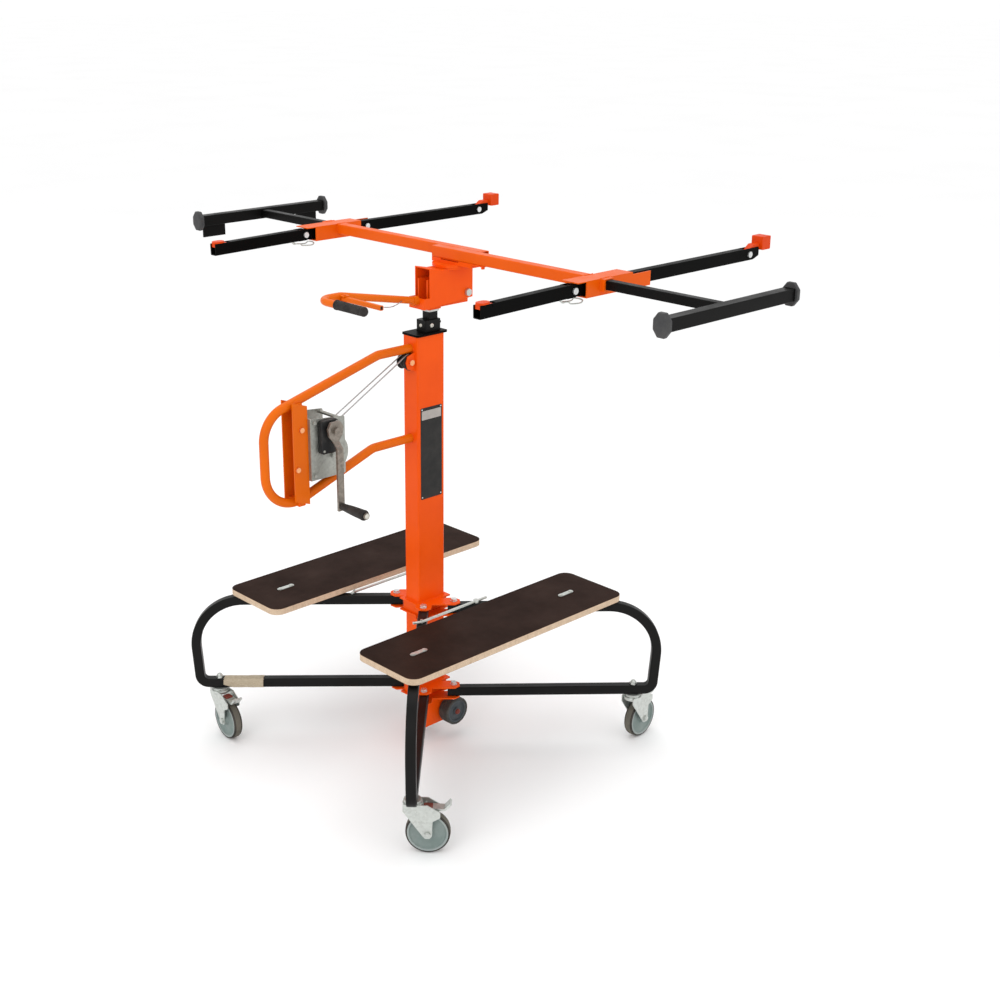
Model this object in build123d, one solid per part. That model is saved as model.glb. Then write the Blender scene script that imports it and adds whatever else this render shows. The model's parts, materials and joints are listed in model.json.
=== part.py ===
from build123d import *
import os
from math import asin, atan2, cos, hypot, pi, sin

# Panel hoist on a folding four-legged base: telescopic mast, hand winch, tilting and turning cradle.
# Millimetres. The origin is on the floor under the mast's axis, +Z is up, +X is the mast's wide face
# and the line of the cradle beam, and +Y is the side that the panel's lower edge rests on.

# Mast
MAST_X = 60.0
MAST_Y = 100.0
MAST_WALL = 3.0
MAST_BOTTOM = 44.0
MAST_TOP = 1252.0
TOP_PLATE_T = 6.0
MID_X = 40.0
MID_Y = 56.0
MID_AT_Y = 18.0
MID_BOTTOM = 75.0
MID_TOP = 1290.0
INNER_X = 30.0
INNER_Y = 32.0
INNER_AT_Y = 24.0
INNER_BOTTOM = 110.0
INNER_TOP = 1318.0
SLIDE_GAP = 0.3

# Legs: square tube loops that stand on the diagonals
LEG_TUBE = 28.0
LEG_WALL = 2.0
LEG_CORNER = 4.0
LEG_TOP_Z = 441.0
LEG_LOW_Z = 169.5
LEG_INNER_R = 66.0
LEG_OUTER_R = 695.0
LEG_LEAN = 17.0
LEG_TOP_BEND = 148.0
LEG_LOW_BEND = 26.0
LEG_ANGLES = {"right": 48.6, "rear": 135.0, "left": 228.0, "front": 315.0}
LEG_ASIDE = {"right": 39.0, "rear": 0.0, "left": 25.0, "front": 0.0}

# Leg brackets
BRACKET_PLATE_T = 4.0
BRACKET_GAP = 15.5
LUG_R = 102.0
LUG_W = 46.0
PIN_AT_R = 84.0
PIN_R = 5.0
FIT = 0.05

# Casters
STEM_AT_R = 622.0
STEM_R = 6.0
WHEEL_R = 60.0
WHEEL_CORE_R = 55.0
WHEEL_W = 28.0
TRAIL = 40.0
FORK_IN = 19.0
FORK_T = 3.0
AXLE_R = 5.0
PEDAL_PIVOT_X = 34.0
PEDAL_PIVOT_Z = 132.5
TRAIL_ANGLES = {"right": 94.0, "rear": 200.0, "left": -4.0, "front": 43.0}

# Step boards
BOARD_LENGTH = 825.0
BOARD_WIDTH = 235.0
BOARD_T = 18.0
BOARD_AT_X = 296.0
BOARD_TOP = 477.0
BOARD_CORNER = 32.0
CLIP_AT_Y = 288.0
CLIP_SCREW_HALF = 20.0

# Tie rods between neighbouring legs
TIE_FRONT_X = 128.0
TIE_REAR_X = -165.0
TIE_R = 4.0

# Winch frame: a round tube loop in the plane X = 0, as (Y, Z) corners
FRAME_TUBE_R = 12.5
FRAME_TUBE_WALL = 2.5
FRAME_TOP_Z = 1218.0
FRAME_LOW_Z = 959.5
FRAME_OUT_Y = -553.0
FRAME_BOTTOM_Z = 870.0
CHANNEL_WEB_Y = -429.0
CHANNEL_DEPTH = 47.0
CHANNEL_HALF = 25.0
CHANNEL_T = 4.0
CHANNEL_LOW_Z = 862.0
CHANNEL_TOP_Z = 1133.0
CHANNEL_RAKE = 16.0

# Winch
DRUM_AT_X = -12.0
DRUM_Y = -354.0
DRUM_Z = 988.0
CRANK_Y = -369.0
CRANK_Z = 1063.0
DRUM_R = 40.0
DRUM_HALF = 24.0
FLANGE_R = 50.0
SIDE_IN = 32.0
SIDE_FAR = -59.0
SIDE_T = 3.0
SIDE_Z0 = 928.0
SIDE_Z1 = 1098.0
SIDE_FRONT_Z1 = 1086.0
SPACER_R = 13.0
DRUM_NECK_R = 26.0
GEAR_R = 53.0
PINION_R = 23.2
CRANK_LENGTH = 206.0
CABLE_D = 4.0
WINDING_TURNS = 8
WINDING_PITCH = 4.8
STRAND_AT_DRUM = 12.0
STRAND_AT_PULLEY = 9.0

# Mast pulley
PULLEY_Y = -64.0
PULLEY_Z = 1183.0
PULLEY_R = 23.0
PULLEY_CABLE_R = 20.0
PULLEY_HALF = 15.0

# Transport wheels at the mast's foot
TRANSPORT_Y = 66.0
TRANSPORT_Z = 81.0
TRANSPORT_R = 43.0
TRANSPORT_IN = 33.0
TRANSPORT_W = 38.0

# Tilting head
HEAD_HALF = 31.0
HEAD_T = 3.0
HEAD_Y0 = -3.0
HEAD_LIP_Y = -25.0
HEAD_LIP_Z = 1324.0
HEAD_LIP_TOP = 1354.0
HEAD_Y1 = 156.0
HEAD_Z0 = 1337.0
HEAD_Z1 = 1426.0
HEAD_END_Z = 1435.0
HEAD_LEVEL_Y = 40.0
TILT_Y = 136.0
TILT_Z = 1352.0
TILT_R = 6.0
HANDLE_R = 10.0
HANDLE_Z = 1347.0
HANDLE_KNEE_Z = 1398.0
HANDLE_END_Y = -365.0
HANDLE_END_Z = 1398.5
HANDLE_END_X = 190.0
LEVER_Y = -290.0
LEVER_X = 18.0
LEVER_Z = 1393.0
LEVER_TIP_X = 166.0

# Cradle
BEAM_Y = {"left": 128.0, "right": 98.0}
BEAM_INNER_X = {"left": 108.0, "right": -57.0}
BEAM_Z = 1462.0
BEAM_SIZE = 30.0
BEAM_WALL = 2.0
TURNTABLE_R = 52.0
TURN_Y = 102.0
RING_R = 50.0
RING_TOP = 1428.0
TURNTABLE_TOP = 1436.0
ARM_AT_X = 540.0
ARM_Z = 1455.0
ARM_W = 26.0
ARM_H = 33.0
ARM_WALL = 3.0
SLEEVE_HALF = 27.0
SLEEVE_Z0 = 1434.5
SLEEVE_Z1 = 1477.0
SLEEVE_WALL = 2.5
SLEEVE_Y0 = 32.0
SLEEVE_Y1 = 205.0
NEAR_PIVOT_Y = 4.0
NEAR_TIP_Y = -316.0
FAR_TIP_Y = 757.0
FAR_PIVOT_Y = 715.0
HINGE_R = 16.5
NEAR_DROOP = 1.1
FAR_CHEEK_Y1 = 275.0
NEAR_STOP_BACK = 42.0
NEAR_STOP_UP = 11.0
NEAR_STOP_PIN_R = 3.5
FAR_STOP_SIZE = 37.0
STEM_SIZE = 24.0
CROSSBAR = 32.0
CROSSBAR_LENGTH = 478.0
T_AT_X = {"left": -915.0, "right": 950.0}
STEM_LENGTH = 600.0
STEM_FIT = 0.4
CAP_WIDTH = 45.0
CAP_HEIGHT = 57.0
TAB_DROP = 36.0
TAB_INSET = {-1: 12.0, 1: 26.0}
SIDES = {"left": -1, "right": 1}


def box(x0, x1, y0, y1, z0, z1):
    """A block between two corners."""
    size = Box(x1 - x0, y1 - y0, z1 - z0)
    return Pos((x0 + x1) / 2, (y0 + y1) / 2, (z0 + z1) / 2) * size


def rod_x(r, x0, x1, y, z):
    return Pos((x0 + x1) / 2, y, z) * Rot(0, 90, 0) * Cylinder(r, x1 - x0)


def rod_y(r, y0, y1, x, z):
    return Pos(x, (y0 + y1) / 2, z) * Rot(90, 0, 0) * Cylinder(r, y1 - y0)


def rod_z(r, z0, z1, x=0.0, y=0.0):
    return Pos(x, y, (z0 + z1) / 2) * Cylinder(r, z1 - z0)


def hex_z(flats, z0, z1, x=0.0, y=0.0):
    """A bolt head or nut on a vertical axis."""
    sketch = RegularPolygon(flats / 2, 6, major_radius=False)
    return Pos(x, y, z0) * extrude(sketch, z1 - z0)


def hex_x(flats, x0, x1, y, z):
    sketch = RegularPolygon(flats / 2, 6, major_radius=False)
    return Pos(x0, y, z) * Rot(0, 90, 0) * extrude(sketch, x1 - x0)


def plate_yz(points, x0, x1, radius=0.0):
    """A flat plate across X, from corners given as (Y, Z)."""
    return extrude(Plane.YZ.offset(x0) * outline(points, radius), x1 - x0)


def plate_xz(points, y0, y1, radius=0.0):
    """A flat plate across Y, from corners given as (X, Z)."""
    return extrude(Plane.XZ.offset(-y1) * outline(points, radius), y1 - y0)


def outline(points, radius):
    if radius:
        return make_face(FilletPolyline(*points, radius=radius, close=True))
    return make_face(Polyline(*points, close=True))


def rounded_bar(x0, x1, y0, y1, z0, z1, axis, radius):
    """A block with its four long edges rounded."""
    block = box(x0, x1, y0, y1, z0, z1)
    return fillet(block.edges().filter_by(axis), radius)


def swept(path, section, side):
    """A section carried along a path; side is the direction of the section's own X axis."""
    start = Plane(origin=path @ 0, x_dir=side, z_dir=path % 0)
    return sweep(start * section, path=path)


def group(*solids):
    return Compound(children=list(solids))


def mast_column():
    outer = rounded_bar(-MAST_X / 2, MAST_X / 2, -MAST_Y / 2, MAST_Y / 2, MAST_BOTTOM, MAST_TOP, Axis.Z, 5)
    half_x = MAST_X / 2 - MAST_WALL
    half_y = MAST_Y / 2 - MAST_WALL
    inner = box(-half_x, half_x, -half_y, half_y, MAST_BOTTOM - 1, MAST_TOP + 1)
    slot = box(-PULLEY_HALF - 1, PULLEY_HALF + 1, -MAST_Y, -half_y + 1, PULLEY_Z - 20, PULLEY_Z + 20)
    column = outer - inner - slot
    for side in (-1, 1):
        ear = plate_yz(
            [
                (MAST_Y / 2, TRANSPORT_Z - 22),
                (TRANSPORT_Y + 6, TRANSPORT_Z - 14),
                (TRANSPORT_Y + 12, TRANSPORT_Z),
                (TRANSPORT_Y + 6, TRANSPORT_Z + 14),
                (MAST_Y / 2, TRANSPORT_Z + 30),
            ],
            side * 24 - 3,
            side * 24 + 3,
        )
        column += ear
    return column - rod_x(6 + FIT, -40, 40, TRANSPORT_Y, TRANSPORT_Z)


def mast_top_plate():
    plate = box(-34, 34, -52, 60, MAST_TOP, MAST_TOP + TOP_PLATE_T)
    plate = fillet(plate.edges().filter_by(Axis.Z), 6)
    half_x = MAST_X / 2 - MAST_WALL - 0.1
    liner = box(-half_x, half_x, -16, MAST_Y / 2 - MAST_WALL - 0.1, MAST_TOP - 40, MAST_TOP)
    way = box(
        -MID_X / 2 - SLIDE_GAP,
        MID_X / 2 + SLIDE_GAP,
        MID_AT_Y - MID_Y / 2 - SLIDE_GAP,
        MID_AT_Y + MID_Y / 2 + SLIDE_GAP,
        MAST_TOP - 50,
        MAST_TOP + 50,
    )
    return plate + liner - way


def mid_mast():
    half_x = MID_X / 2
    y0 = MID_AT_Y - MID_Y / 2
    y1 = MID_AT_Y + MID_Y / 2
    outer = rounded_bar(-half_x, half_x, y0, y1, MID_BOTTOM, MID_TOP, Axis.Z, 4)
    hollow = box(-half_x + 3, half_x - 3, y0 + 3, y1 - 3, MID_BOTTOM + 10, MID_TOP - 4)
    way = box(
        -INNER_X / 2 - SLIDE_GAP,
        INNER_X / 2 + SLIDE_GAP,
        INNER_AT_Y - INNER_Y / 2 - SLIDE_GAP,
        INNER_AT_Y + INNER_Y / 2 + SLIDE_GAP,
        MID_TOP - 10,
        MID_TOP + 10,
    )
    anchor = box(-18, 18, y0 - 34, y0 + 1, MID_BOTTOM, MID_BOTTOM + 10)
    anchor -= box(-12, 12, y0 - 40, y0 - 4, MID_BOTTOM - 5, MID_BOTTOM + 20)
    stop_pin = rod_y(4, y1 - 4, y1 + 8, 8, MID_TOP - 12)
    return outer - hollow - way + anchor + stop_pin


def inner_mast():
    half_x = INNER_X / 2
    y0 = INNER_AT_Y - INNER_Y / 2
    y1 = INNER_AT_Y + INNER_Y / 2
    outer = rounded_bar(-half_x, half_x, y0, y1, INNER_BOTTOM, INNER_TOP, Axis.Z, 3)
    return outer - box(-half_x + 3, half_x - 3, y0 + 3, y1 - 3, INNER_BOTTOM - 1, INNER_TOP - 5)


def leg_place(name):
    """A leg's own frame: its tube runs along +X, aside from the mast's axis."""
    return Rot(0, 0, LEG_ANGLES[name]) * Pos(0, -LEG_ASIDE[name], 0)


def leg_point(name, along):
    place = (leg_place(name) * Pos(along, 0, 0)).position
    return place.X, place.Y


def leg_crossing(name, x):
    """The Y at which a leg's centre line crosses the line X = x."""
    x0, y0 = leg_point(name, 0)
    x1, y1 = leg_point(name, 1)
    return y0 + (x - x0) * (y1 - y0) / (x1 - x0)


def leg_bracket(z_mid):
    """Two star-shaped plates on a collar; the legs' tubes lie between the plates."""
    star = Rectangle(84, 124)
    for name in LEG_ANGLES:
        lug = chamfer(Rectangle(LUG_R, LUG_W).vertices().group_by(Axis.X)[-1], 14)
        star += leg_place(name) * Pos(LUG_R / 2, 0) * lug
    mast = Rectangle(MAST_X, MAST_Y)
    plate = extrude(star - mast, BRACKET_PLATE_T)
    low = z_mid - BRACKET_GAP - BRACKET_PLATE_T
    collar = extrude(Rectangle(MAST_X + 8, MAST_Y + 8) - mast, 2 * (BRACKET_GAP + BRACKET_PLATE_T))
    bracket = Pos(0, 0, low) * collar + Pos(0, 0, low) * plate + Pos(0, 0, z_mid + BRACKET_GAP) * plate
    for name in LEG_ANGLES:
        x, y = leg_point(name, PIN_AT_R)
        bracket -= rod_z(PIN_R + FIT, low - 5, z_mid + 30, x, y)
    return bracket


def leg(name):
    """A closed loop of square tube: top run, large bend, leaning upright, tight bend and low bar."""
    path = FilletPolyline(
        (LEG_INNER_R, 0, LEG_TOP_Z),
        (LEG_OUTER_R, 0, LEG_TOP_Z),
        (LEG_OUTER_R - LEG_LEAN, 0, LEG_LOW_Z),
        (LEG_INNER_R, 0, LEG_LOW_Z),
        radius=[LEG_TOP_BEND, LEG_LOW_BEND],
    )
    inside = LEG_TUBE - 2 * LEG_WALL
    section = RectangleRounded(LEG_TUBE, LEG_TUBE, LEG_CORNER)
    section -= RectangleRounded(inside, inside, LEG_CORNER - LEG_WALL)
    loop = swept(path, section, (0, 1, 0))
    loop -= rod_z(PIN_R + FIT, LEG_LOW_Z - 20, LEG_TOP_Z + 20, PIN_AT_R)
    loop -= rod_z(STEM_R + FIT, LEG_LOW_Z - 20, LEG_LOW_Z + 20, STEM_AT_R)
    return leg_place(name) * loop


def caster_place(name):
    x, y = leg_point(name, STEM_AT_R)
    return Pos(x, y, 0) * Rot(0, 0, TRAIL_ANGLES[name])


def caster_fork(name):
    """Pressed fork with its raceway, the axle bolt through it, and the stem with its domed nut."""
    cheek = [(-25, 148), (-25, 128), (28, 54), (34, 48), (46, 48)]
    cheek += [(52, 56), (54, 100), (74, 112), (74, 128), (40, 148)]
    bar_low = LEG_LOW_Z - LEG_TUBE / 2
    fork = rod_z(26, 137, 147) + rod_z(23, 146, bar_low - 0.3)
    for side in (-1, 1):
        mid = side * (FORK_IN + FORK_T / 2)
        fork += plate_xz(cheek, mid - FORK_T / 2, mid + FORK_T / 2, 3)
    fork -= rod_y(AXLE_R + 0.02, -40, 40, TRAIL, WHEEL_R)
    fork -= rod_y(4 + FIT, -40, 40, PEDAL_PIVOT_X, PEDAL_PIVOT_Z)
    fork -= rod_z(STEM_R + 0.02, 130, 170)
    outer = FORK_IN + FORK_T
    axle = rod_y(AXLE_R, -outer - 6, outer + 6, TRAIL, WHEEL_R)
    for side in (-1, 1):
        mid = side * (outer + 2.6)
        axle += rod_y(8.5, mid - 2.4, mid + 2.4, TRAIL, WHEEL_R)
    bar_top = LEG_LOW_Z + LEG_TUBE / 2
    stem = rod_z(STEM_R, 138, bar_top + 6) + hex_z(19, bar_top + 0.4, bar_top + 7)
    dome = Pos(0, 0, bar_top + 7) * Sphere(8) - box(-20, 20, -20, 20, bar_top - 20, bar_top + 6.9)
    place = caster_place(name)
    return group(place * fork, place * axle, place * (stem + dome))


def caster_wheel(name):
    """A ribbed plastic centre with a soft tyre round it."""
    half = WHEEL_W / 2
    tyre = rod_y(WHEEL_R, -half, half, TRAIL, WHEEL_R)
    tyre = fillet(tyre.edges().filter_by(GeomType.CIRCLE), 4.5)
    tyre -= rod_y(WHEEL_CORE_R, -half - 1, half + 1, TRAIL, WHEEL_R)
    core = rod_y(WHEEL_CORE_R, -half + 1, half - 1, TRAIL, WHEEL_R)
    for side in (-1, 1):
        y0 = side * (half - 5)
        y1 = side * (half + 4)
        dish = rod_y(WHEEL_CORE_R - 5, min(y0, y1), max(y0, y1), TRAIL, WHEEL_R)
        core -= dish
    core += rod_y(15, -FORK_IN + 0.6, FORK_IN - 0.6, TRAIL, WHEEL_R)
    core -= rod_y(AXLE_R + FIT, -40, 40, TRAIL, WHEEL_R)
    place = caster_place(name)
    return group(place * core, place * tyre)


def caster_pedal(name):
    """The brake pedal: a flat lever with an upturned tip, hinged between the fork's cheeks."""
    side_view = [(26, 129), (86, 129), (103, 148), (99, 152), (84, 135), (26, 135)]
    lever = plate_xz(side_view, -14, 14)
    pin = rod_y(4, -FORK_IN - FORK_T, FORK_IN + FORK_T, PEDAL_PIVOT_X, PEDAL_PIVOT_Z)
    return caster_place(name) * (lever + pin)


def frame_bolts():
    """Leg pins with heads and nuts, the pulley's pin, and the bolts of the winch channel."""
    bolts = []
    for z_mid in (LEG_TOP_Z, LEG_LOW_Z):
        top = z_mid + BRACKET_GAP + BRACKET_PLATE_T
        low = z_mid - BRACKET_GAP - BRACKET_PLATE_T
        for name in LEG_ANGLES:
            x, y = leg_point(name, PIN_AT_R)
            pin = rod_z(PIN_R, low - 10, top + 3, x, y)
            pin += rod_z(10, top + 0.05, top + 1.6, x, y) + hex_z(16, top + 1.5, top + 8, x, y)
            pin += hex_z(16, low - 8, low - 0.05, x, y)
            bolts.append(pin)
    cheek = PULLEY_HALF + 4.2
    pulley_pin = rod_x(5, -cheek - 4, cheek + 4, PULLEY_Y, PULLEY_Z)
    pulley_pin += hex_x(15, cheek + 0.1, cheek + 6, PULLEY_Y, PULLEY_Z)
    pulley_pin += hex_x(15, -cheek - 6, -cheek - 0.1, PULLEY_Y, PULLEY_Z)
    bolts.append(pulley_pin)
    web_bolt_y = CHANNEL_WEB_Y - CHANNEL_T
    for z in (SIDE_Z0 + 25, SIDE_Z1 - 20):
        for x in (-12, 12):
            head = rod_y(6.5, web_bolt_y - 6, web_bolt_y, x, z)
            bolts.append(head)
    for y, z in ((-450, 1072), (-466, 966)):
        for side in (-1, 1):
            x0 = side * CHANNEL_HALF
            x1 = side * (CHANNEL_HALF + 5)
            bolts.append(rod_x(7, min(x0, x1), max(x0, x1), y, z))
    return group(*bolts)


def tie_rod(x, eye_leg, hook_leg, run_in, run_on):
    """A bent rod across two neighbouring legs, pinned to the hook leg.

    The pin stands run_in along +Y from that leg's centre line, and the rod's tail runs on past it.
    """
    tube_top = LEG_TOP_Z + LEG_TUBE / 2
    z = tube_top + TIE_R + 0.5
    eye_y = leg_crossing(eye_leg, x)
    hook_y = leg_crossing(hook_leg, x) + run_in
    way = 1 if x > 0 else -1
    path = FilletPolyline(
        (x, eye_y + 40, z),
        (x, hook_y - 5, z),
        (x - way * run_on / 2, hook_y - 5 - run_on, z),
        radius=12,
    )
    rod = swept(path, Circle(TIE_R), (0, 0, 1))
    rod += rod_z(9, z - TIE_R, z + TIE_R, x, eye_y)
    return rod + rod_z(TIE_R - 0.5, tube_top + 0.02, z + 7, x, hook_y)


def tie_rods():
    front = tie_rod(TIE_FRONT_X, "right", "front", 0, 19)
    rear = tie_rod(TIE_REAR_X, "rear", "left", 12, 8)
    return group(front, rear)


def step_board(side):
    plank = extrude(RectangleRounded(BOARD_WIDTH, BOARD_LENGTH, BOARD_CORNER), BOARD_T)
    for y in (-CLIP_AT_Y, CLIP_AT_Y):
        for step in (-CLIP_SCREW_HALF, CLIP_SCREW_HALF):
            plank -= rod_z(3.05, -5, BOARD_T + 5, 0, y + step)
    return Rot(0, 0, 0 if side > 0 else 180) * Pos(BOARD_AT_X, 0, BOARD_TOP - BOARD_T) * plank


def step_clips():
    """Pads between the boards and the legs, each held by two screws under a pressed plate."""
    clips = []
    tube_top = LEG_TOP_Z + LEG_TUBE / 2
    under = BOARD_TOP - BOARD_T
    for turn in (0, 180):
        for y in (-CLIP_AT_Y, CLIP_AT_Y):
            clip = box(-19, 19, y - 30, y + 30, tube_top + 0.3, under - 0.02)
            strap = SlotOverall(2 * CLIP_SCREW_HALF + 18, 15)
            clip += Pos(0, y, BOARD_TOP + 0.02) * Rot(0, 0, 90) * extrude(strap, 1.6)
            for step in (-CLIP_SCREW_HALF, CLIP_SCREW_HALF):
                clip += rod_z(3, under - 1, BOARD_TOP + 2, 0, y + step)
                clip += rod_z(5.5, BOARD_TOP + 1.5, BOARD_TOP + 3.6, 0, y + step)
            clips.append(Rot(0, 0, turn) * Pos(BOARD_AT_X, 0, 0) * clip)
    return group(*clips)


def frame_path():
    """The winch frame's line, from the mast's upper weld round to its lower weld."""
    face = -MAST_Y / 2
    return FilletPolyline(
        (0, face, FRAME_TOP_Z),
        (0, -166, FRAME_TOP_Z),
        (0, FRAME_OUT_Y, 1116),
        (0, FRAME_OUT_Y, FRAME_BOTTOM_Z),
        (0, -444, FRAME_BOTTOM_Z),
        (0, -190, FRAME_LOW_Z),
        (0, face, FRAME_LOW_Z),
        radius=[60, 85, 90, 90, 60],
    )


def winch_frame():
    ring = Circle(FRAME_TUBE_R) - Circle(FRAME_TUBE_R - FRAME_TUBE_WALL)
    return swept(frame_path(), ring, (1, 0, 0))


def winch_channel():
    """A channel that opens away from the mast; its raked flanges straddle the frame's tube."""
    open_y = CHANNEL_WEB_Y - CHANNEL_DEPTH
    channel = box(-CHANNEL_HALF, CHANNEL_HALF, CHANNEL_WEB_Y - CHANNEL_T, CHANNEL_WEB_Y, 895, 1128)
    flange = [
        (CHANNEL_WEB_Y, CHANNEL_LOW_Z),
        (CHANNEL_WEB_Y, CHANNEL_TOP_Z),
        (open_y, CHANNEL_TOP_Z + CHANNEL_RAKE),
        (open_y, CHANNEL_LOW_Z + CHANNEL_RAKE),
    ]
    for side in (-1, 1):
        x0 = side * (CHANNEL_HALF - CHANNEL_T)
        x1 = side * CHANNEL_HALF
        channel += plate_yz(flange, min(x0, x1), max(x0, x1))
    rod = swept(frame_path(), Circle(FRAME_TUBE_R), (1, 0, 0))
    inside = CHANNEL_HALF - CHANNEL_T
    for z in (FRAME_BOTTOM_Z, CHANNEL_TOP_Z):
        channel += box(-inside, inside, -462, -442, z - 9, z + 9) - rod
    return channel


def winch_side_plates():
    """Two side plates on a back plate, with cross rods and the drum's fixed axle and spacer."""
    back = CHANNEL_WEB_Y
    front = back + 115
    near = SIDE_IN + SIDE_T
    far = SIDE_FAR - SIDE_T
    shape = [
        (back, SIDE_Z0),
        (back, SIDE_Z1),
        (front, SIDE_FRONT_Z1),
        (front, SIDE_Z0),
    ]
    frame = box(far, near, back, back + 5, SIDE_Z0, SIDE_Z1)
    frame += plate_yz(shape, SIDE_IN, near, 4) + plate_yz(shape, far, SIDE_FAR, 4)
    frame -= rod_x(8 + FIT, SIDE_IN - 1, near + 1, CRANK_Y, CRANK_Z)
    for y, z in ((front - 9, SIDE_FRONT_Z1 - 7), (front - 10, SIDE_Z0 + 8)):
        frame += rod_x(5, SIDE_FAR - 1, SIDE_IN + 1, y, z)
    axle = rod_x(8, far - 7, near + 7, DRUM_Y, DRUM_Z)
    axle += rod_x(SPACER_R, SIDE_FAR - 1, DRUM_AT_X - DRUM_HALF - 3, DRUM_Y, DRUM_Z)
    axle += hex_x(18, near - 1, near + 6, DRUM_Y, DRUM_Z)
    return frame + axle


def gear_cover():
    """The brake housing outside the right side plate, with the crank shaft's boss."""
    x0 = SIDE_IN + SIDE_T
    x1 = x0 + 17
    cover = rounded_bar(x0, x1, CRANK_Y - 36, CRANK_Y + 22, CRANK_Z - 64, CRANK_Z + 27, Axis.X, 9)
    cover = fillet(cover.faces().sort_by(Axis.X)[-1].edges(), 3)
    hollow = rounded_bar(x0 - 1, x1 - 3, CRANK_Y - 33, CRANK_Y + 19, CRANK_Z - 61, CRANK_Z + 24, Axis.X, 6)
    boss = rod_x(15, x1 - 1, x1 + 6, CRANK_Y, CRANK_Z)
    return cover - hollow + boss - rod_x(8 + FIT, x0, x1 + 10, CRANK_Y, CRANK_Z)


def winch_drum():
    """Barrel and flanges, with a neck to the drum gear against the right side plate."""
    x0 = DRUM_AT_X - DRUM_HALF
    x1 = DRUM_AT_X + DRUM_HALF
    drum = rod_x(DRUM_R, x0, x1, DRUM_Y, DRUM_Z)
    drum += rod_x(FLANGE_R, x0 - 2.5, x0, DRUM_Y, DRUM_Z)
    drum += rod_x(FLANGE_R, x1, x1 + 2.5, DRUM_Y, DRUM_Z)
    drum += rod_x(DRUM_NECK_R, x1 + 2, SIDE_IN - 5, DRUM_Y, DRUM_Z)
    drum += rod_x(GEAR_R, SIDE_IN - 6, SIDE_IN - 0.7, DRUM_Y, DRUM_Z)
    return drum - rod_x(8 + FIT, -60, 60, DRUM_Y, DRUM_Z)


def winding_point(turn):
    """A point of the cable's outer layer and the way that it runs there."""
    r = DRUM_R + CABLE_D / 2 + 0.1
    x0 = DRUM_AT_X - WINDING_TURNS * WINDING_PITCH / 2
    a = 2 * pi * turn
    place = Vector(x0 + WINDING_PITCH * turn, DRUM_Y + r * cos(a), DRUM_Z + r * sin(a))
    way = Vector(WINDING_PITCH / (2 * pi), -r * sin(a), r * cos(a)).normalized()
    return place, way


def biarc(p0, t0, p1, t1):
    """Two arcs from p0 to p1 that leave and arrive along the given directions."""
    v = p1 - p0
    a = 2 * (1 - t0.dot(t1))
    b = 2 * v.dot(t0 + t1)
    d = (-b + (b * b + 4 * a * v.dot(v)) ** 0.5) / (2 * a)
    q0 = p0 + t0 * d
    q1 = p1 - t1 * d
    joint = (q0 + q1) * 0.5
    return [TangentArc(p0, joint, tangent=t0), TangentArc(joint, p1, tangent=q1 - q0)]


def drum_winding():
    """The cable's outer layer on the drum: one helix of half-turn biarcs with short straight ends."""
    start, way = winding_point(0)
    edges = [Line(start - way * CABLE_D, start)]
    for half in range(2 * WINDING_TURNS):
        p0, t0 = winding_point(half / 2)
        p1, t1 = winding_point((half + 1) / 2)
        edges += biarc(p0, t0, p1, t1)
    end, way = winding_point(WINDING_TURNS)
    edges.append(Line(end, end + way * CABLE_D))
    path = Wire(edges)
    points = [winding_point(i / 36)[0] for i in range(36 * WINDING_TURNS + 1)]
    near = min((q - p).length for i, p in enumerate(points) for q in points[i + 18 :])
    print("drum winding: least gap between turns", round(near - CABLE_D, 2), "mm")
    return sweep(Plane(origin=path @ 0, z_dir=path % 0) * Circle(CABLE_D / 2), path=path)


def crank_arm():
    """Pinion and shaft, the wide pressed head, the offset flat arm and the pin that the grip turns on."""
    shaft = rod_x(8, SIDE_IN - 5, 70, CRANK_Y, CRANK_Z)
    shaft += rod_x(PINION_R, SIDE_IN - 5, SIDE_IN - 0.7, CRANK_Y, CRANK_Z)
    shaft += hex_x(19, 66, 76, CRANK_Y, CRANK_Z)
    head = [
        (CRANK_Y - 25, CRANK_Z + 8),
        (CRANK_Y - 15, CRANK_Z + 24),
        (CRANK_Y + 15, CRANK_Z + 24),
        (CRANK_Y + 25, CRANK_Z + 8),
        (CRANK_Y + 22, CRANK_Z - 14),
        (CRANK_Y + 10, CRANK_Z - 30),
        (CRANK_Y - 10, CRANK_Z - 30),
        (CRANK_Y - 22, CRANK_Z - 14),
    ]
    end_z = CRANK_Z - CRANK_LENGTH
    bend = [
        (60, CRANK_Z - 20),
        (67, CRANK_Z - 20),
        (67, CRANK_Z - 30),
        (84, CRANK_Z - 48),
        (84, end_z - 13),
        (77, end_z - 13),
        (77, CRANK_Z - 45),
        (60, CRANK_Z - 27),
    ]
    arm = plate_yz(head, 60, 67, 5) + plate_xz(bend, CRANK_Y - 10, CRANK_Y + 10)
    pin = rod_x(5, 78, 184, CRANK_Y, end_z) + rod_x(9, 183.5, 188, CRANK_Y, end_z)
    return shaft + arm + pin


def crank_grip():
    end_z = CRANK_Z - CRANK_LENGTH
    shape = Polyline((0, 5 + FIT), (0, 9), (4, 10), (86, 14.5), (96, 13), (96, 5 + FIT), close=True)
    grip = revolve(make_face(shape), Axis.X)
    return Pos(86, CRANK_Y, end_z) * grip


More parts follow.
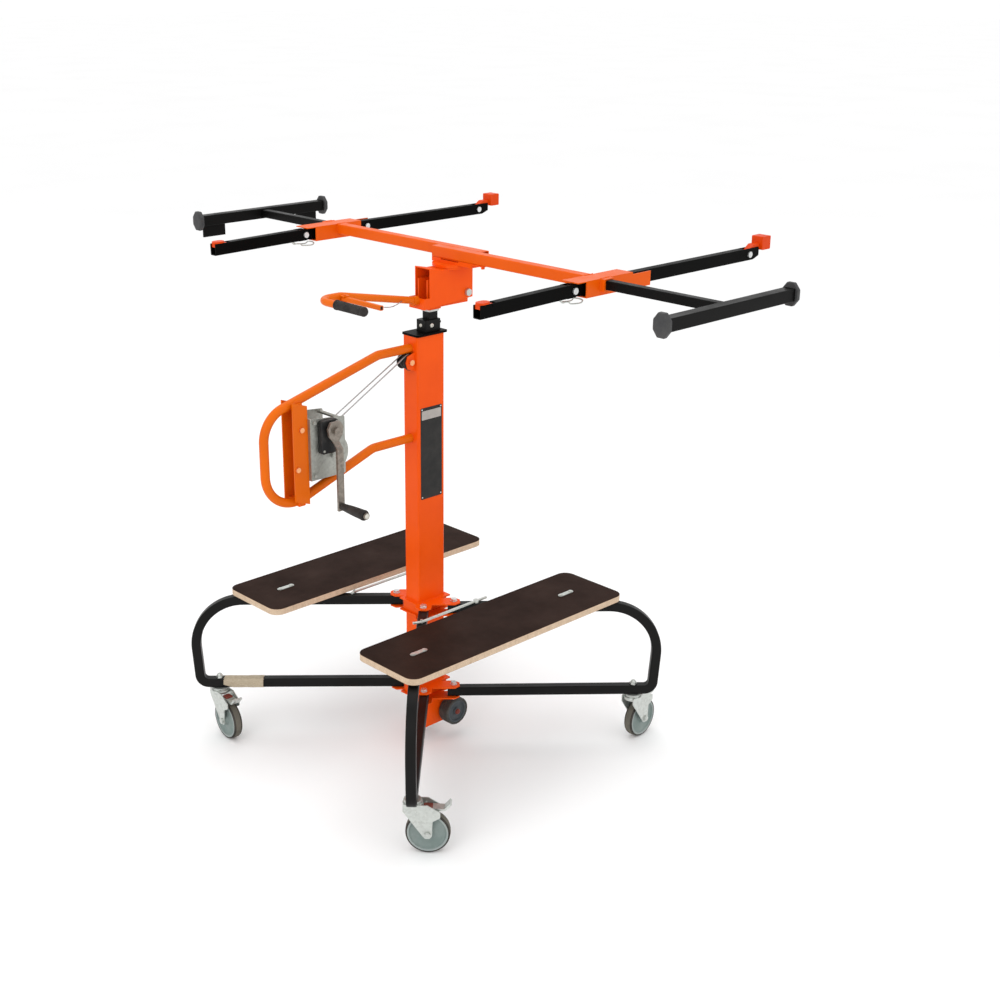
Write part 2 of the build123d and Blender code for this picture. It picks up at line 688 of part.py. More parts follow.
def pulley_bracket():
    cheeks = []
    face = -MAST_Y / 2
    shape = [
        (face, PULLEY_Z - 26),
        (PULLEY_Y - 12, PULLEY_Z - 18),
        (PULLEY_Y - 18, PULLEY_Z),
        (PULLEY_Y - 12, PULLEY_Z + 18),
        (face, PULLEY_Z + 26),
    ]
    for side in (-1, 1):
        x0 = side * (PULLEY_HALF + 1.2)
        x1 = side * (PULLEY_HALF + 4.2)
        cheek = plate_yz(shape, min(x0, x1), max(x0, x1))
        cheeks.append(cheek - rod_x(5.02, -30, 30, PULLEY_Y, PULLEY_Z))
    return group(*cheeks)


def pulley():
    """A wheel with two grooves, one for each strand."""
    groove = PULLEY_CABLE_R - CABLE_D / 2 - 0.2
    wheel = rod_x(groove, -PULLEY_HALF, PULLEY_HALF, PULLEY_Y, PULLEY_Z)
    wheel += rod_x(groove + 1.7, -1.5, 1.5, PULLEY_Y, PULLEY_Z)
    for side in (-1, 1):
        x0, x1 = sorted((side * PULLEY_HALF, side * (PULLEY_HALF - 1.5)))
        wheel += rod_x(PULLEY_R, x0, x1, PULLEY_Y, PULLEY_Z)
    return wheel - rod_x(5 + FIT, -20, 20, PULLEY_Y, PULLEY_Z)


def hoist_cable():
    """Two strands, tight from the drum over the mast pulley and down inside the mast."""
    drum_r = DRUM_R + 1.5 * CABLE_D + 0.5
    dy = PULLEY_Y - DRUM_Y
    dz = PULLEY_Z - DRUM_Z
    slope = atan2(dz, dy) - asin((drum_r - PULLEY_CABLE_R) / hypot(dy, dz))
    start_y = DRUM_Y - drum_r * sin(slope)
    start_z = DRUM_Z + drum_r * cos(slope)
    down_y = PULLEY_Y + PULLEY_CABLE_R
    corner_z = start_z + (down_y - start_y) * sin(slope) / cos(slope)
    strands = []
    for side in (-1, 1):
        x = side * STRAND_AT_PULLEY
        path = FilletPolyline(
            (DRUM_AT_X + side * STRAND_AT_DRUM, start_y, start_z),
            (x, down_y, corner_z),
            (x, down_y, 140),
            radius=PULLEY_CABLE_R,
        )
        strands.append(swept(path, Circle(CABLE_D / 2), (1, 0, 0)))
    return group(*strands)


def transport_axle():
    end = TRANSPORT_IN + TRANSPORT_W + 3
    return rod_x(6, -end, end, TRANSPORT_Y, TRANSPORT_Z)


def transport_wheels():
    """Two wheels, each a plastic centre with a soft tread."""
    solids = []
    for side in (-1, 1):
        near = side * TRANSPORT_IN
        far = side * (TRANSPORT_IN + TRANSPORT_W)
        x0 = min(near, far)
        x1 = max(near, far)
        tread = rod_x(TRANSPORT_R, x0, x1, TRANSPORT_Y, TRANSPORT_Z)
        tread = fillet(tread.edges().filter_by(GeomType.CIRCLE), 3)
        tread -= rod_x(TRANSPORT_R - 7, x0 - 1, x1 + 1, TRANSPORT_Y, TRANSPORT_Z)
        core = rod_x(TRANSPORT_R - 7, x0 + 1, x1 - 1, TRANSPORT_Y, TRANSPORT_Z)
        dish0 = min(far, far - side * 7)
        core -= rod_x(TRANSPORT_R - 13, dish0, dish0 + 7, TRANSPORT_Y, TRANSPORT_Z)
        core += rod_x(12, x0 + 1, x1 - 1, TRANSPORT_Y, TRANSPORT_Z)
        core -= rod_x(6.02, x0 - 1, x1 + 1, TRANSPORT_Y, TRANSPORT_Z)
        solids += [core, tread]
    return group(*solids)


def tilt_bracket():
    """A channel on the inner mast's head plate; the tilt bolt passes through its ears."""
    foot_y = INNER_AT_Y
    floor_z = INNER_TOP + 4
    bracket = box(-20, 20, foot_y - 22, foot_y + 22, INNER_TOP, floor_z + 1)
    bracket += box(-20, 20, HEAD_Y0, 148, floor_z, floor_z + 4)
    ear = [(HEAD_Y0, floor_z), (HEAD_Y0, 1402), (104, 1402), (148, 1368), (148, floor_z)]
    for side in (-1, 1):
        x0 = side * 16
        x1 = side * 20
        bracket += plate_yz(ear, min(x0, x1), max(x0, x1))
    return bracket - rod_x(TILT_R + 0.02, -40, 40, TILT_Y, TILT_Z)


def tilt_bolt():
    bolt = rod_x(TILT_R, -38, 38, TILT_Y, TILT_Z)
    bolt += hex_x(19, HEAD_HALF + 0.5, HEAD_HALF + 8, TILT_Y, TILT_Z)
    return bolt + hex_x(19, -HEAD_HALF - 9, -HEAD_HALF - 0.5, TILT_Y, TILT_Z)


def head_box():
    """The upper channel that tilts: top, two sides, a lip at the handle's end and the turntable's ring."""
    inside = HEAD_HALF - HEAD_T
    side_view = [
        (HEAD_LIP_Y, HEAD_LIP_Z),
        (HEAD_LIP_Y, HEAD_LIP_TOP),
        (HEAD_Y0, HEAD_LIP_TOP),
        (HEAD_Y0, HEAD_END_Z),
        (HEAD_LEVEL_Y, HEAD_Z1),
        (HEAD_Y1, HEAD_Z1),
        (HEAD_Y1, HEAD_Z0),
    ]
    top_view = [
        (HEAD_Y0, HEAD_END_Z),
        (HEAD_LEVEL_Y, HEAD_Z1),
        (HEAD_Y1, HEAD_Z1),
        (HEAD_Y1, HEAD_Z1 - HEAD_T),
        (HEAD_LEVEL_Y, HEAD_Z1 - HEAD_T),
        (HEAD_Y0, HEAD_END_Z - HEAD_T),
    ]
    head = plate_yz(top_view, -HEAD_HALF, HEAD_HALF)
    for side in (-1, 1):
        x0 = side * inside
        x1 = side * HEAD_HALF
        head += plate_yz(side_view, min(x0, x1), max(x0, x1))
    head += box(-inside, inside, HEAD_LIP_Y, HEAD_LIP_Y + HEAD_T, HEAD_LIP_Z, HEAD_LIP_TOP)
    head += rod_z(RING_R, HEAD_Z1 - HEAD_T, RING_TOP, 0, TURN_Y)
    head -= rod_z(10 + FIT, HEAD_Z1 - 10, HEAD_Z1 + 10, 0, TURN_Y)
    return head - rod_x(TILT_R + FIT, -50, 50, TILT_Y, TILT_Z)


def tilt_handle():
    """A bent tube with a boss at the head, two lugs for the release lever and an eye for its cable."""
    root_y = HEAD_LIP_Y
    path = FilletPolyline(
        (0, root_y - 2.5, HANDLE_Z),
        (0, LEVER_Y, HANDLE_KNEE_Z),
        (0, HANDLE_END_Y, HANDLE_END_Z),
        (HANDLE_END_X - 2, HANDLE_END_Y, HANDLE_END_Z),
        radius=[60, 42],
    )
    tube = swept(path, Circle(HANDLE_R), (1, 0, 0))
    tube += rod_y(13, root_y - 16, root_y, 0, HANDLE_Z)
    for z in (LEVER_Z - 9.5, LEVER_Z + 7):
        tube += box(2, LEVER_X + 9, LEVER_Y - 10, LEVER_Y + 10, z, z + 2.5)
    tube += box(0, LEVER_X - 9.5, LEVER_Y - 10, LEVER_Y + 10, LEVER_Z - 9.5, LEVER_Z + 9.5)
    tube += box(4, 15, -89, -81, 1352.5, 1358.5)
    return tube - rod_z(3.5 + FIT, LEVER_Z - 20, LEVER_Z + 20, LEVER_X, LEVER_Y)


def handle_grip():
    x0 = HANDLE_END_X - 112
    sleeve = rod_x(12.4, x0, HANDLE_END_X + 3, HANDLE_END_Y, HANDLE_END_Z)
    sleeve = fillet(sleeve.edges().filter_by(GeomType.CIRCLE), 2)
    return sleeve - rod_x(HANDLE_R + 0.02, x0 - 1, HANDLE_END_X - 2, HANDLE_END_Y, HANDLE_END_Z)


def release_lever():
    y0 = LEVER_Y - 6
    y1 = LEVER_Y + 6
    bar = rounded_bar(LEVER_X - 7, LEVER_TIP_X, y0, y1, LEVER_Z - 6.5, LEVER_Z + 6.5, Axis.X, 3.5)
    bar -= box(LEVER_TIP_X - 30, LEVER_TIP_X + 1, y0 + 2, y1 - 2, LEVER_Z - 4.5, LEVER_Z + 4.5)
    return bar + rod_z(3.5, LEVER_Z - 11, LEVER_Z + 12, LEVER_X, LEVER_Y)


def lock_cable():
    """The thin cable from the lever's tip to the eye on the handle, with a little sag."""
    start = Vector(LEVER_TIP_X - 8, LEVER_Y + 8.2, LEVER_Z)
    end = Vector(11.5, -89.3, 1355.5)
    sag = (start + end) * 0.5 - Vector(0, 0, 9)
    path = FilletPolyline(start, sag, end, radius=900)
    return sweep(Plane(origin=start, z_dir=path % 0) * Circle(1.2), path=path)


def turntable():
    """Upper disc and king pin, and the block under both half-beams with its front slit and long foot."""
    disc_z = RING_TOP + 0.4
    seat = BEAM_Z - BEAM_SIZE / 2
    y0 = BEAM_Y["right"] - BEAM_SIZE / 2
    y1 = BEAM_Y["left"] + BEAM_SIZE / 2
    plate = rod_z(TURNTABLE_R, disc_z, TURNTABLE_TOP, 0, TURN_Y)
    plate += box(BEAM_INNER_X["right"], 102, y0, y1, TURNTABLE_TOP - 1, seat)
    plate += box(96, 146, y0, y0 + 30, seat - 3.5, seat)
    plate += box(139, 145, y0 + 1, y0 + 9, seat - 9, seat - 3)
    plate -= box(-21, 50, y0 - 1, y0 + 9, seat - 4.2, seat - 0.8)
    pin = rod_z(10, HEAD_Z1 - 18, disc_z + 1, 0, TURN_Y)
    pin += hex_z(30, HEAD_Z1 - 17, HEAD_Z1 - HEAD_T - 0.4, 0, TURN_Y)
    return plate + pin


def sleeve(name):
    """The socket at a half-beam's end: arm sleeve, near overhang, far cheek, packing and stem collar."""
    x_in = ARM_AT_X - SLEEVE_HALF
    x_out = ARM_AT_X + SLEEVE_HALF
    w = SLEEVE_WALL
    beam_y = BEAM_Y[name]
    arm_top = ARM_Z + ARM_H / 2
    body = box(x_in, x_out, SLEEVE_Y0, SLEEVE_Y1, SLEEVE_Z0, SLEEVE_Z1)
    body -= box(x_in + w, x_out - w, SLEEVE_Y0 - 1, SLEEVE_Y1 + 1, SLEEVE_Z0 + w, SLEEVE_Z1 - w)
    body += box(x_in, x_out, 0, SLEEVE_Y0 + 1, SLEEVE_Z1 - w, SLEEVE_Z1)
    body += box(x_out - w, x_out, SLEEVE_Y1 - 1, FAR_CHEEK_Y1, SLEEVE_Z0, arm_top)
    packing = box(x_in + 1, x_out - 1, SLEEVE_Y0 + 28, beam_y - 16, SLEEVE_Z0 + 1, arm_top)
    gap = ARM_W / 2 + 0.1
    arm_low = ARM_Z - ARM_H / 2
    body += packing - box(ARM_AT_X - gap, ARM_AT_X + gap, 0, FAR_CHEEK_Y1, arm_low - 0.1, arm_top + 1)
    collar = STEM_SIZE / 2 + 5
    body += box(x_out - 1, x_out + 15, beam_y - collar, beam_y + collar, BEAM_Z - 16, SLEEVE_Z1)
    way = STEM_SIZE / 2 + STEM_FIT
    body -= box(x_in - 5, x_out + 50, beam_y - way, beam_y + way, BEAM_Z - way, BEAM_Z + way)
    return body if SIDES[name] > 0 else mirror(body, Plane.YZ)


def half_beam(name):
    """A square tube from a sleeve to a little past the turntable."""
    half = BEAM_SIZE / 2
    way = half - BEAM_WALL
    y = BEAM_Y[name]
    end = SIDES[name] * (ARM_AT_X - SLEEVE_HALF)
    x0, x1 = sorted((BEAM_INNER_X[name], end))
    tube = rounded_bar(x0, x1, y - half, y + half, BEAM_Z - half, BEAM_Z + half, Axis.X, 3)
    return tube - box(x0 - 1, x1 + 1, y - way, y + way, BEAM_Z - way, BEAM_Z + way)


def cradle_beam():
    """Two half-beams side by side, each welded to its arm sleeve."""
    return group(half_beam("right"), half_beam("left"), sleeve("right"), sleeve("left"))


def arm_tube(y0, y1):
    """A stretch of arm, on its own centre line at X = 0."""
    half = ARM_W / 2
    z0 = ARM_Z - ARM_H / 2
    z1 = ARM_Z + ARM_H / 2
    tube = rounded_bar(-half, half, y0, y1, z0, z1, Axis.Y, 3)
    inner = half - ARM_WALL
    return tube - box(-inner, inner, y0 - 1, y1 + 1, z0 + ARM_WALL, z1 - ARM_WALL)


def drooped(shape):
    """The near arms hang a little below level at their hinges."""
    return Pos(0, NEAR_PIVOT_Y, ARM_Z) * Rot(NEAR_DROOP, 0, 0) * Pos(0, -NEAR_PIVOT_Y, -ARM_Z) * shape


def near_arm(name):
    """The folding arm: its two walls run back past the hinge tongue, and its tip is open on top."""
    half = ARM_W / 2
    inner = half - ARM_WALL
    root = NEAR_PIVOT_Y - 24
    pin_y = NEAR_TIP_Y + NEAR_STOP_BACK
    pin_z = ARM_Z + NEAR_STOP_UP
    arm = arm_tube(NEAR_TIP_Y, root)
    for way in (-1, 1):
        x0 = min(way * half, way * inner)
        wall = box(x0, x0 + ARM_WALL, root - 1, NEAR_PIVOT_Y, ARM_Z - HINGE_R, ARM_Z + HINGE_R)
        wall += rod_x(HINGE_R, x0, x0 + ARM_WALL, NEAR_PIVOT_Y, ARM_Z)
        arm += wall
    arm -= box(-inner, inner, NEAR_TIP_Y - 1, NEAR_TIP_Y + 54, ARM_Z, ARM_Z + 30)
    arm -= rod_x(5 + FIT, -30, 30, NEAR_PIVOT_Y, ARM_Z)
    arm -= rod_x(NEAR_STOP_PIN_R + 0.02, -30, 30, pin_y, pin_z)
    pin = rod_x(NEAR_STOP_PIN_R, -half - 1, half + 1, pin_y, pin_z)
    return Pos(SIDES[name] * ARM_AT_X, 0, 0) * group(drooped(arm), drooped(pin))


def far_arm(name):
    """The fixed arm: hinge tongue, tube through the sleeve with a notch for the stem, and open tip."""
    half = ARM_W / 2
    inner = half - ARM_WALL
    low = ARM_Z - ARM_H / 2
    root = NEAR_PIVOT_Y + HINGE_R + 1
    arm = arm_tube(root, FAR_TIP_Y)
    tongue = box(0.5 - inner, inner - 0.5, NEAR_PIVOT_Y, root + 8, ARM_Z - HINGE_R + 1, ARM_Z + HINGE_R - 1)
    tongue += rod_x(HINGE_R - 1, 0.5 - inner, inner - 0.5, NEAR_PIVOT_Y, ARM_Z)
    arm += tongue - rod_x(5.02, -half, half, NEAR_PIVOT_Y, ARM_Z)
    way = STEM_SIZE / 2 + STEM_FIT + 0.5
    arm -= box(-30, 30, BEAM_Y[name] - way, BEAM_Y[name] + way, BEAM_Z - way, BEAM_Z + 30)
    arm -= box(-inner, inner, FAR_PIVOT_Y - 24, FAR_TIP_Y + 1, ARM_Z, ARM_Z + 30)
    arm -= plate_yz([(FAR_TIP_Y - 27, low), (FAR_TIP_Y + 1, low), (FAR_TIP_Y + 1, low + 10)], -half, half)
    arm -= rod_x(5.02, -30, 30, FAR_PIVOT_Y, ARM_Z)
    return Pos(SIDES[name] * ARM_AT_X, 0, 0) * arm


def far_arms():
    return group(far_arm("left"), far_arm("right"))


def arm_bolts():
    """Hinge bolts of the near arms, fixing bolts of the far arms and the pins of the far stops."""
    bolts = []
    half = ARM_W / 2
    for side in (-1, 1):
        at = side * ARM_AT_X
        hinge = rod_x(5, at - half - 4, at + half + 4, NEAR_PIVOT_Y, ARM_Z)
        hinge += rod_x(8.5, at + half + 0.4, at + half + 5, NEAR_PIVOT_Y, ARM_Z)
        hinge += rod_x(8.5, at - half - 5, at - half - 0.4, NEAR_PIVOT_Y, ARM_Z)
        bolts.append(hinge)
        pin = rod_x(5, at - half - 2, at + half + 2, FAR_PIVOT_Y, ARM_Z)
        pin += rod_x(8.5, at + half + 0.05, at + half + 4, FAR_PIVOT_Y, ARM_Z)
        pin += rod_x(8.5, at - half - 4, at - half - 0.05, FAR_PIVOT_Y, ARM_Z)
        bolts.append(pin)
        inner = at - side * half
        head = inner - side * 4
        x0 = min(inner, head)
        bolts.append(rod_x(8, x0, x0 + 4, SLEEVE_Y1 + 36, ARM_Z))
    return group(*bolts)


def near_stop(name):
    """The stop stowed in the near arm's tip: a block under a rounded cap, swinging up on a pin behind it."""
    pivot_y = NEAR_TIP_Y + NEAR_STOP_BACK
    pivot_z = ARM_Z + NEAR_STOP_UP
    top = ARM_Z + ARM_H / 2
    half = ARM_W / 2 - ARM_WALL - 0.5
    stop = box(-half, half, NEAR_TIP_Y + 3, NEAR_TIP_Y + 33, ARM_Z + 6, top + 1)
    stop += box(-half, half, NEAR_TIP_Y + 32, pivot_y, pivot_z - 5, pivot_z + 5)
    stop += rod_x(5, -half, half, pivot_y, pivot_z)
    stop += Pos(0, NEAR_TIP_Y + 18, top + 0.3) * extrude(RectangleRounded(ARM_W, 36, ARM_W / 2 - 0.1), 5)
    stop -= rod_x(NEAR_STOP_PIN_R + FIT, -30, 30, pivot_y, pivot_z)
    return Pos(SIDES[name] * ARM_AT_X, 0, 0) * drooped(stop)


def far_stop(name):
    """The raised stop at the far arm's tip: hinge barrel, strap and a cube that is open behind and below."""
    half = ARM_W / 2 - ARM_WALL - 0.5
    y0 = FAR_TIP_Y + 7.5
    z0 = ARM_Z + 6.5
    strap = [
        (FAR_PIVOT_Y, ARM_Z + 10),
        (FAR_PIVOT_Y + 22, ARM_Z + 25),
        (y0 + 4.5, ARM_Z + 25),
        (y0 + 4.5, ARM_Z + 9),
        (FAR_PIVOT_Y + 20, ARM_Z + 5),
        (FAR_PIVOT_Y, ARM_Z - 8),
    ]
    s = FAR_STOP_SIZE / 2
    cube = rounded_bar(-s, s, y0, y0 + 2 * s, z0, z0 + 2 * s, Axis.X, 3)
    cube -= box(3 - s, s - 3, y0 + 3, y0 + 2 * s + 1, z0 - 1, z0 + 2 * s - 3)
    stop = cube + plate_yz(strap, -half, half) + rod_x(11, -half, half, FAR_PIVOT_Y, ARM_Z)
    return Pos(SIDES[name] * ARM_AT_X, 0, 0) * (stop - rod_x(5 + FIT, -30, 30, FAR_PIVOT_Y, ARM_Z))


def t_bar(name):
    """A T extension: stem that slides in its half-beam, crossbar and octagonal end caps."""
    at = T_AT_X[name]
    y = BEAM_Y[name]
    half = STEM_SIZE / 2
    near = at - SIDES[name] * CROSSBAR / 2
    far = at - SIDES[name] * STEM_LENGTH
    x0, x1 = sorted((near, far))
    stem = rounded_bar(x0, x1, y - half, y + half, BEAM_Z - half, BEAM_Z + half, Axis.X, 2.5)
    stem -= box(x0 - 1, x1 + 1, y - half + 2, y + half - 2, BEAM_Z - half + 2, BEAM_Z + half - 2)
    c = CROSSBAR / 2
    y0 = y - CROSSBAR_LENGTH / 2
    y1 = y + CROSSBAR_LENGTH / 2
    bar = rounded_bar(at - c, at + c, y0, y1, BEAM_Z - c, BEAM_Z + c, Axis.Y, 3)
    bar -= box(at - c + 2, at + c - 2, y0 - 1, y1 + 1, BEAM_Z - c + 2, BEAM_Z + c - 2)
    solids = [bar, stem]
    for end, out in ((y0, -1), (y1, 1)):
        cap = Plane.XZ * RegularPolygon(CAP_HEIGHT / 2, 8, major_radius=False, rotation=22.5)
        cap = extrude(scale(cap, (CAP_WIDTH / CAP_HEIGHT, 1, 1)), 6, both=True)
        cap = fillet(cap.edges().filter_by(Axis.Y), 5)
        cap = chamfer(cap.faces().sort_by(Axis.Y)[-1 if out > 0 else 0].edges(), 3)
        cap = Pos(at, end + out * 3, BEAM_Z) * cap
        socket = c + 0.1
        inner = sorted((end, end - out * 20))
        cap -= box(at - socket, at + socket, *inner, BEAM_Z - socket, BEAM_Z + socket)
        solids.append(cap)
        if name == "left":
            tab = sorted((end - out * TAB_INSET[out], end - out * (TAB_INSET[out] + 80)))
            solids.append(box(at - 3, at + 3, *tab, BEAM_Z - c - TAB_DROP, BEAM_Z - c))
    return group(*solids)


NODES = {
    "mast_column": mast_column(),
    "mast_top_plate": mast_top_plate(),
    "mid_mast": mid_mast(),
    "inner_mast": inner_mast(),
    "upper_leg_bracket": leg_bracket(LEG_TOP_Z),
    "lower_leg_bracket": leg_bracket(LEG_LOW_Z),
    "frame_bolts": frame_bolts(),
    "tie_rods": tie_rods(),
    "front_step_board": step_board(1),
    "rear_step_board": step_board(-1),
    "step_clips": step_clips(),
    "winch_frame": winch_frame(),
    "winch_channel": winch_channel(),
    "winch_side_plates": winch_side_plates(),
    "gear_cover": gear_cover(),
    "winch_drum": winch_drum(),
    "drum_winding": drum_winding(),
    "crank_arm": crank_arm(),
    "crank_grip": crank_grip(),
    "pulley_bracket": pulley_bracket(),
    "pulley": pulley(),
    "hoist_cable": hoist_cable(),
    "transport_axle": transport_axle(),
    "transport_wheels": transport_wheels(),
    "tilt_bracket": tilt_bracket(),
    "tilt_bolt": tilt_bolt(),
    "head_box": head_box(),
    "tilt_handle": tilt_handle(),
    "handle_grip": handle_grip(),
    "release_lever": release_lever(),
    "lock_cable": lock_cable(),
    "turntable": turntable(),
    "cradle_beam": cradle_beam(),
    "far_arms": far_arms(),
    "arm_bolts": arm_bolts(),
}
for leg_name in LEG_ANGLES:
    NODES[leg_name + "_leg"] = leg(leg_name)
    NODES[leg_name + "_caster_fork"] = caster_fork(leg_name)
    NODES[leg_name + "_caster_wheel"] = caster_wheel(leg_name)
    NODES[leg_name + "_caster_pedal"] = caster_pedal(leg_name)
for arm_name in SIDES:
    NODES["near_arm_" + arm_name] = near_arm(arm_name)
    NODES["near_stop_" + arm_name] = near_stop(arm_name)
    NODES["far_stop_" + arm_name] = far_stop(arm_name)
    NODES["t_bar_" + arm_name] = t_bar(arm_name)

os.makedirs("parts", exist_ok=True)
for node_name, node_shape in NODES.items():
    export_step(node_shape, "parts/" + node_name + ".step")
print(len(NODES), "nodes")
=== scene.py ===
import json
from math import cos, pi, radians, sin

import bmesh
import bpy
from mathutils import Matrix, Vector


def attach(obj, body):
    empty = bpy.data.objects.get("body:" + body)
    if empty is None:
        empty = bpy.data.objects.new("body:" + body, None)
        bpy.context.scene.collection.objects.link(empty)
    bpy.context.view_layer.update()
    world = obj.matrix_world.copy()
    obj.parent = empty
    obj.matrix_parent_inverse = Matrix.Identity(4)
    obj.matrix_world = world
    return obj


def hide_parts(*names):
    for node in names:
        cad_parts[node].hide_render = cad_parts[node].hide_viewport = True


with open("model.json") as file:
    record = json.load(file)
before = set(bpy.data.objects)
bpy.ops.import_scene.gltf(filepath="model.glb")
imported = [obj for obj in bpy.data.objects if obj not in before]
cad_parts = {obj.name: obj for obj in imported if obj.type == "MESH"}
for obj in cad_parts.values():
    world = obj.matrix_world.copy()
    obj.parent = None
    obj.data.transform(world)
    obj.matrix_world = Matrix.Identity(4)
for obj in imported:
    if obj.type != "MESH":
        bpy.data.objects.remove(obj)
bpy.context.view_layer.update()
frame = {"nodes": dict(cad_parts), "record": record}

NODES = frame["nodes"]
X = Vector((1, 0, 0))
Y = Vector((0, 1, 0))
Z = Vector((0, 0, 1))

# Places on the part, in metres and degrees: x along the cradle beam, y along its arms, z up

SIGNS = {"left": -1, "right": 1}

# Legs and casters
LEG_ANGLES = {"right": 48.6, "rear": 135.0, "left": 228.0, "front": 315.0}
LEG_ASIDE = {"right": 0.039, "rear": 0.0, "left": 0.025, "front": 0.0}
TRAIL_ANGLES = {"right": 94.0, "rear": 200.0, "left": -4.0, "front": 43.0}
TOP_BAR_Z = 0.441
LOW_BAR_Z = 0.1695
STEM_REACH = 0.622
WHEEL_TRAIL = 0.040
WHEEL_Z = 0.060
WHEEL_RIBS = 8
LOWER_RACE_Z = 0.1425
UPPER_RACE_Z = 0.1512
PAD_OUT = 0.041
PAD_Z = 0.1349
PAD_RIBS = 4
PAD_RIB_FROM = 0.033
PAD_RIB_STEP = 0.0054
PAD_RIB_Z = 0.1372

# Wrap on the left leg
WRAP_FROM = 0.4885
WRAP_LENGTH = 0.1195
WRAP_HALF = 0.0146
WRAP_CORNER = 0.0046
WRAP_HEM_FROM = 0.576
WRAP_HEM_SLOPE = 0.33
WRAP_HEM_Z = -0.0148

# Transport wheels
TRANSPORT_X = 0.052
TRANSPORT_Y = 0.066
TRANSPORT_Z = 0.081
AXLE_CAP_X = 0.0703

# Mast, its plate and its welds
MAST_FACE_X = 0.030
PLATE_Z = 0.913
PLATE_HALF_Y = 0.040
PLATE_HALF_Z = 0.135
PLATE_TOP_X = 0.0308
PLATE_HEADER_Z = 1.026
RIVET_Y = 0.035
RIVET_Z = (0.784, 1.0435)
INNER_MAST_Y = 0.024
MAST_SCREW_Z = 1.275
FRAME_TOP_Z = 1.218
FRAME_FOOT_Z = 0.9595
FRAME_WELD_RADIUS = 0.0137
FRAME_WELD_Y = -0.0502
BRACKET_HALF = 0.0198
PAINT_LINE_Z = 0.85

# Winch, crank and tilt handle
GEAR_COVER_X = 0.0518
SIDE_PLATE_X = 0.0352
SIDE_BOLT_Y = -0.417
CRANK_PIN_Y = -0.369
CRANK_PIN_Z = 0.857
CRANK_GRIP_X = 0.086
CRANK_CAP_X = 0.1880
HANDLE_Y = -0.365
HANDLE_Z = 1.3985
HANDLE_GRIP_X = 0.078
LEVER_Y = -0.290
LEVER_Z = 1.393
LEVER_BORE_Y = 0.0039
LEVER_BORE_Z = 0.0044

# Cradle
SLEEVE_X = 0.540
BEAM_Y = {"left": 0.128, "right": 0.098}
BEAM_Z = 1.462
BEAM_SEAM_Y = 0.113
BEAM_SEAM_Z = 1.4752
BEAM_SEAM_LENGTH = 0.034
LATCH_HALF = 0.0165
LATCH_WIRE = 0.0018
T_BAR_X = {"left": -0.915, "right": 0.950}
T_BAR_HALF = 0.239
CAP_CORNER = 0.005
CAP_SLIM = 45 / 57

# View and light
EYE = (2.9517, -2.6362, 2.2096)
EYE_AZIMUTH = 47.37
EYE_PITCH = 20.11
LENS = 52.72
SENSOR_WIDTH = 36.0
SHIFT_X = 0.0548
FLOOR_HALF = 60
FLOOR_Z = -0.0005
SKY_STRENGTH = 1.03
LIGHT_SIZE = 3.0
LIGHT_TARGET = (0, 0, 0.8)
LIGHTS = (
    ("key", (1.2, -4.2, 3.6), 45.0),
    ("fill", (4.6, 1.2, 2.8), 15.0),
    ("top", (-0.6, 0.6, 4.4), 30.0),
)


# Node helpers

def add(tree, kind, sockets=None, **settings):
    """A shader node; sockets holds values or the outputs to link to its inputs."""
    node = tree.nodes.new(kind)
    for key, value in settings.items():
        setattr(node, key, value)
    for key, value in (sockets or {}).items():
        if isinstance(value, bpy.types.NodeSocket):
            tree.links.new(value, node.inputs[key])
        else:
            node.inputs[key].default_value = value
    return node


def start(name, **values):
    """A new material with its tree, its shader and its object coordinates."""
    material = bpy.data.materials.new(name)
    material.use_nodes = True
    tree = material.node_tree
    shader = tree.nodes["Principled BSDF"]
    for key, value in values.items():
        shader.inputs[key.replace("_", " ")].default_value = value
    coords = add(tree, "ShaderNodeTexCoord").outputs["Object"]
    return material, tree, shader, coords


def noise(tree, coords, scale, detail=4.0, rough=0.55, stretch=None):
    """Soft noise from 0 to 1, stretched along the axes if asked."""
    if stretch:
        coords = add(tree, "ShaderNodeMapping", {"Vector": coords, "Scale": stretch}).outputs["Vector"]
    sockets = {"Vector": coords, "Scale": scale, "Detail": detail, "Roughness": rough}
    return add(tree, "ShaderNodeTexNoise", sockets).outputs[0]


def ramp(tree, factor, stops):
    """A colour ramp from (position, colour) stops."""
    node = add(tree, "ShaderNodeValToRGB", {"Fac": factor})
    ends = node.color_ramp.elements
    while len(ends) < len(stops):
        ends.new(0.5)
    for element, (place, colour) in zip(ends, stops):
        element.position = place
        element.color = (*colour, 1.0)
    return node.outputs["Color"]


def spread(tree, factor, low, high, span=(0.3, 0.7)):
    """Maps a span of a factor to the range from low to high."""
    sockets = {"Value": factor, "From Min": span[0], "From Max": span[1], "To Min": low, "To Max": high}
    return add(tree, "ShaderNodeMapRange", sockets).outputs["Result"]


def blend(tree, factor, a, b):
    """Colour a turning into colour b; both may be colours or outputs."""
    node = add(tree, "ShaderNodeMix", data_type="RGBA")
    for key, value in ((0, factor), (6, a), (7, b)):
        if isinstance(value, bpy.types.NodeSocket):
            tree.links.new(value, node.inputs[key])
        else:
            node.inputs[key].default_value = (*value, 1.0) if key else value
    return node.outputs[2]


def relief(tree, shader, height, strength, distance):
    """Fine bump on a shader."""
    bump = add(tree, "ShaderNodeBump", {"Height": height, "Strength": strength, "Distance": distance})
    tree.links.new(bump.outputs["Normal"], shader.inputs["Normal"])


# Materials

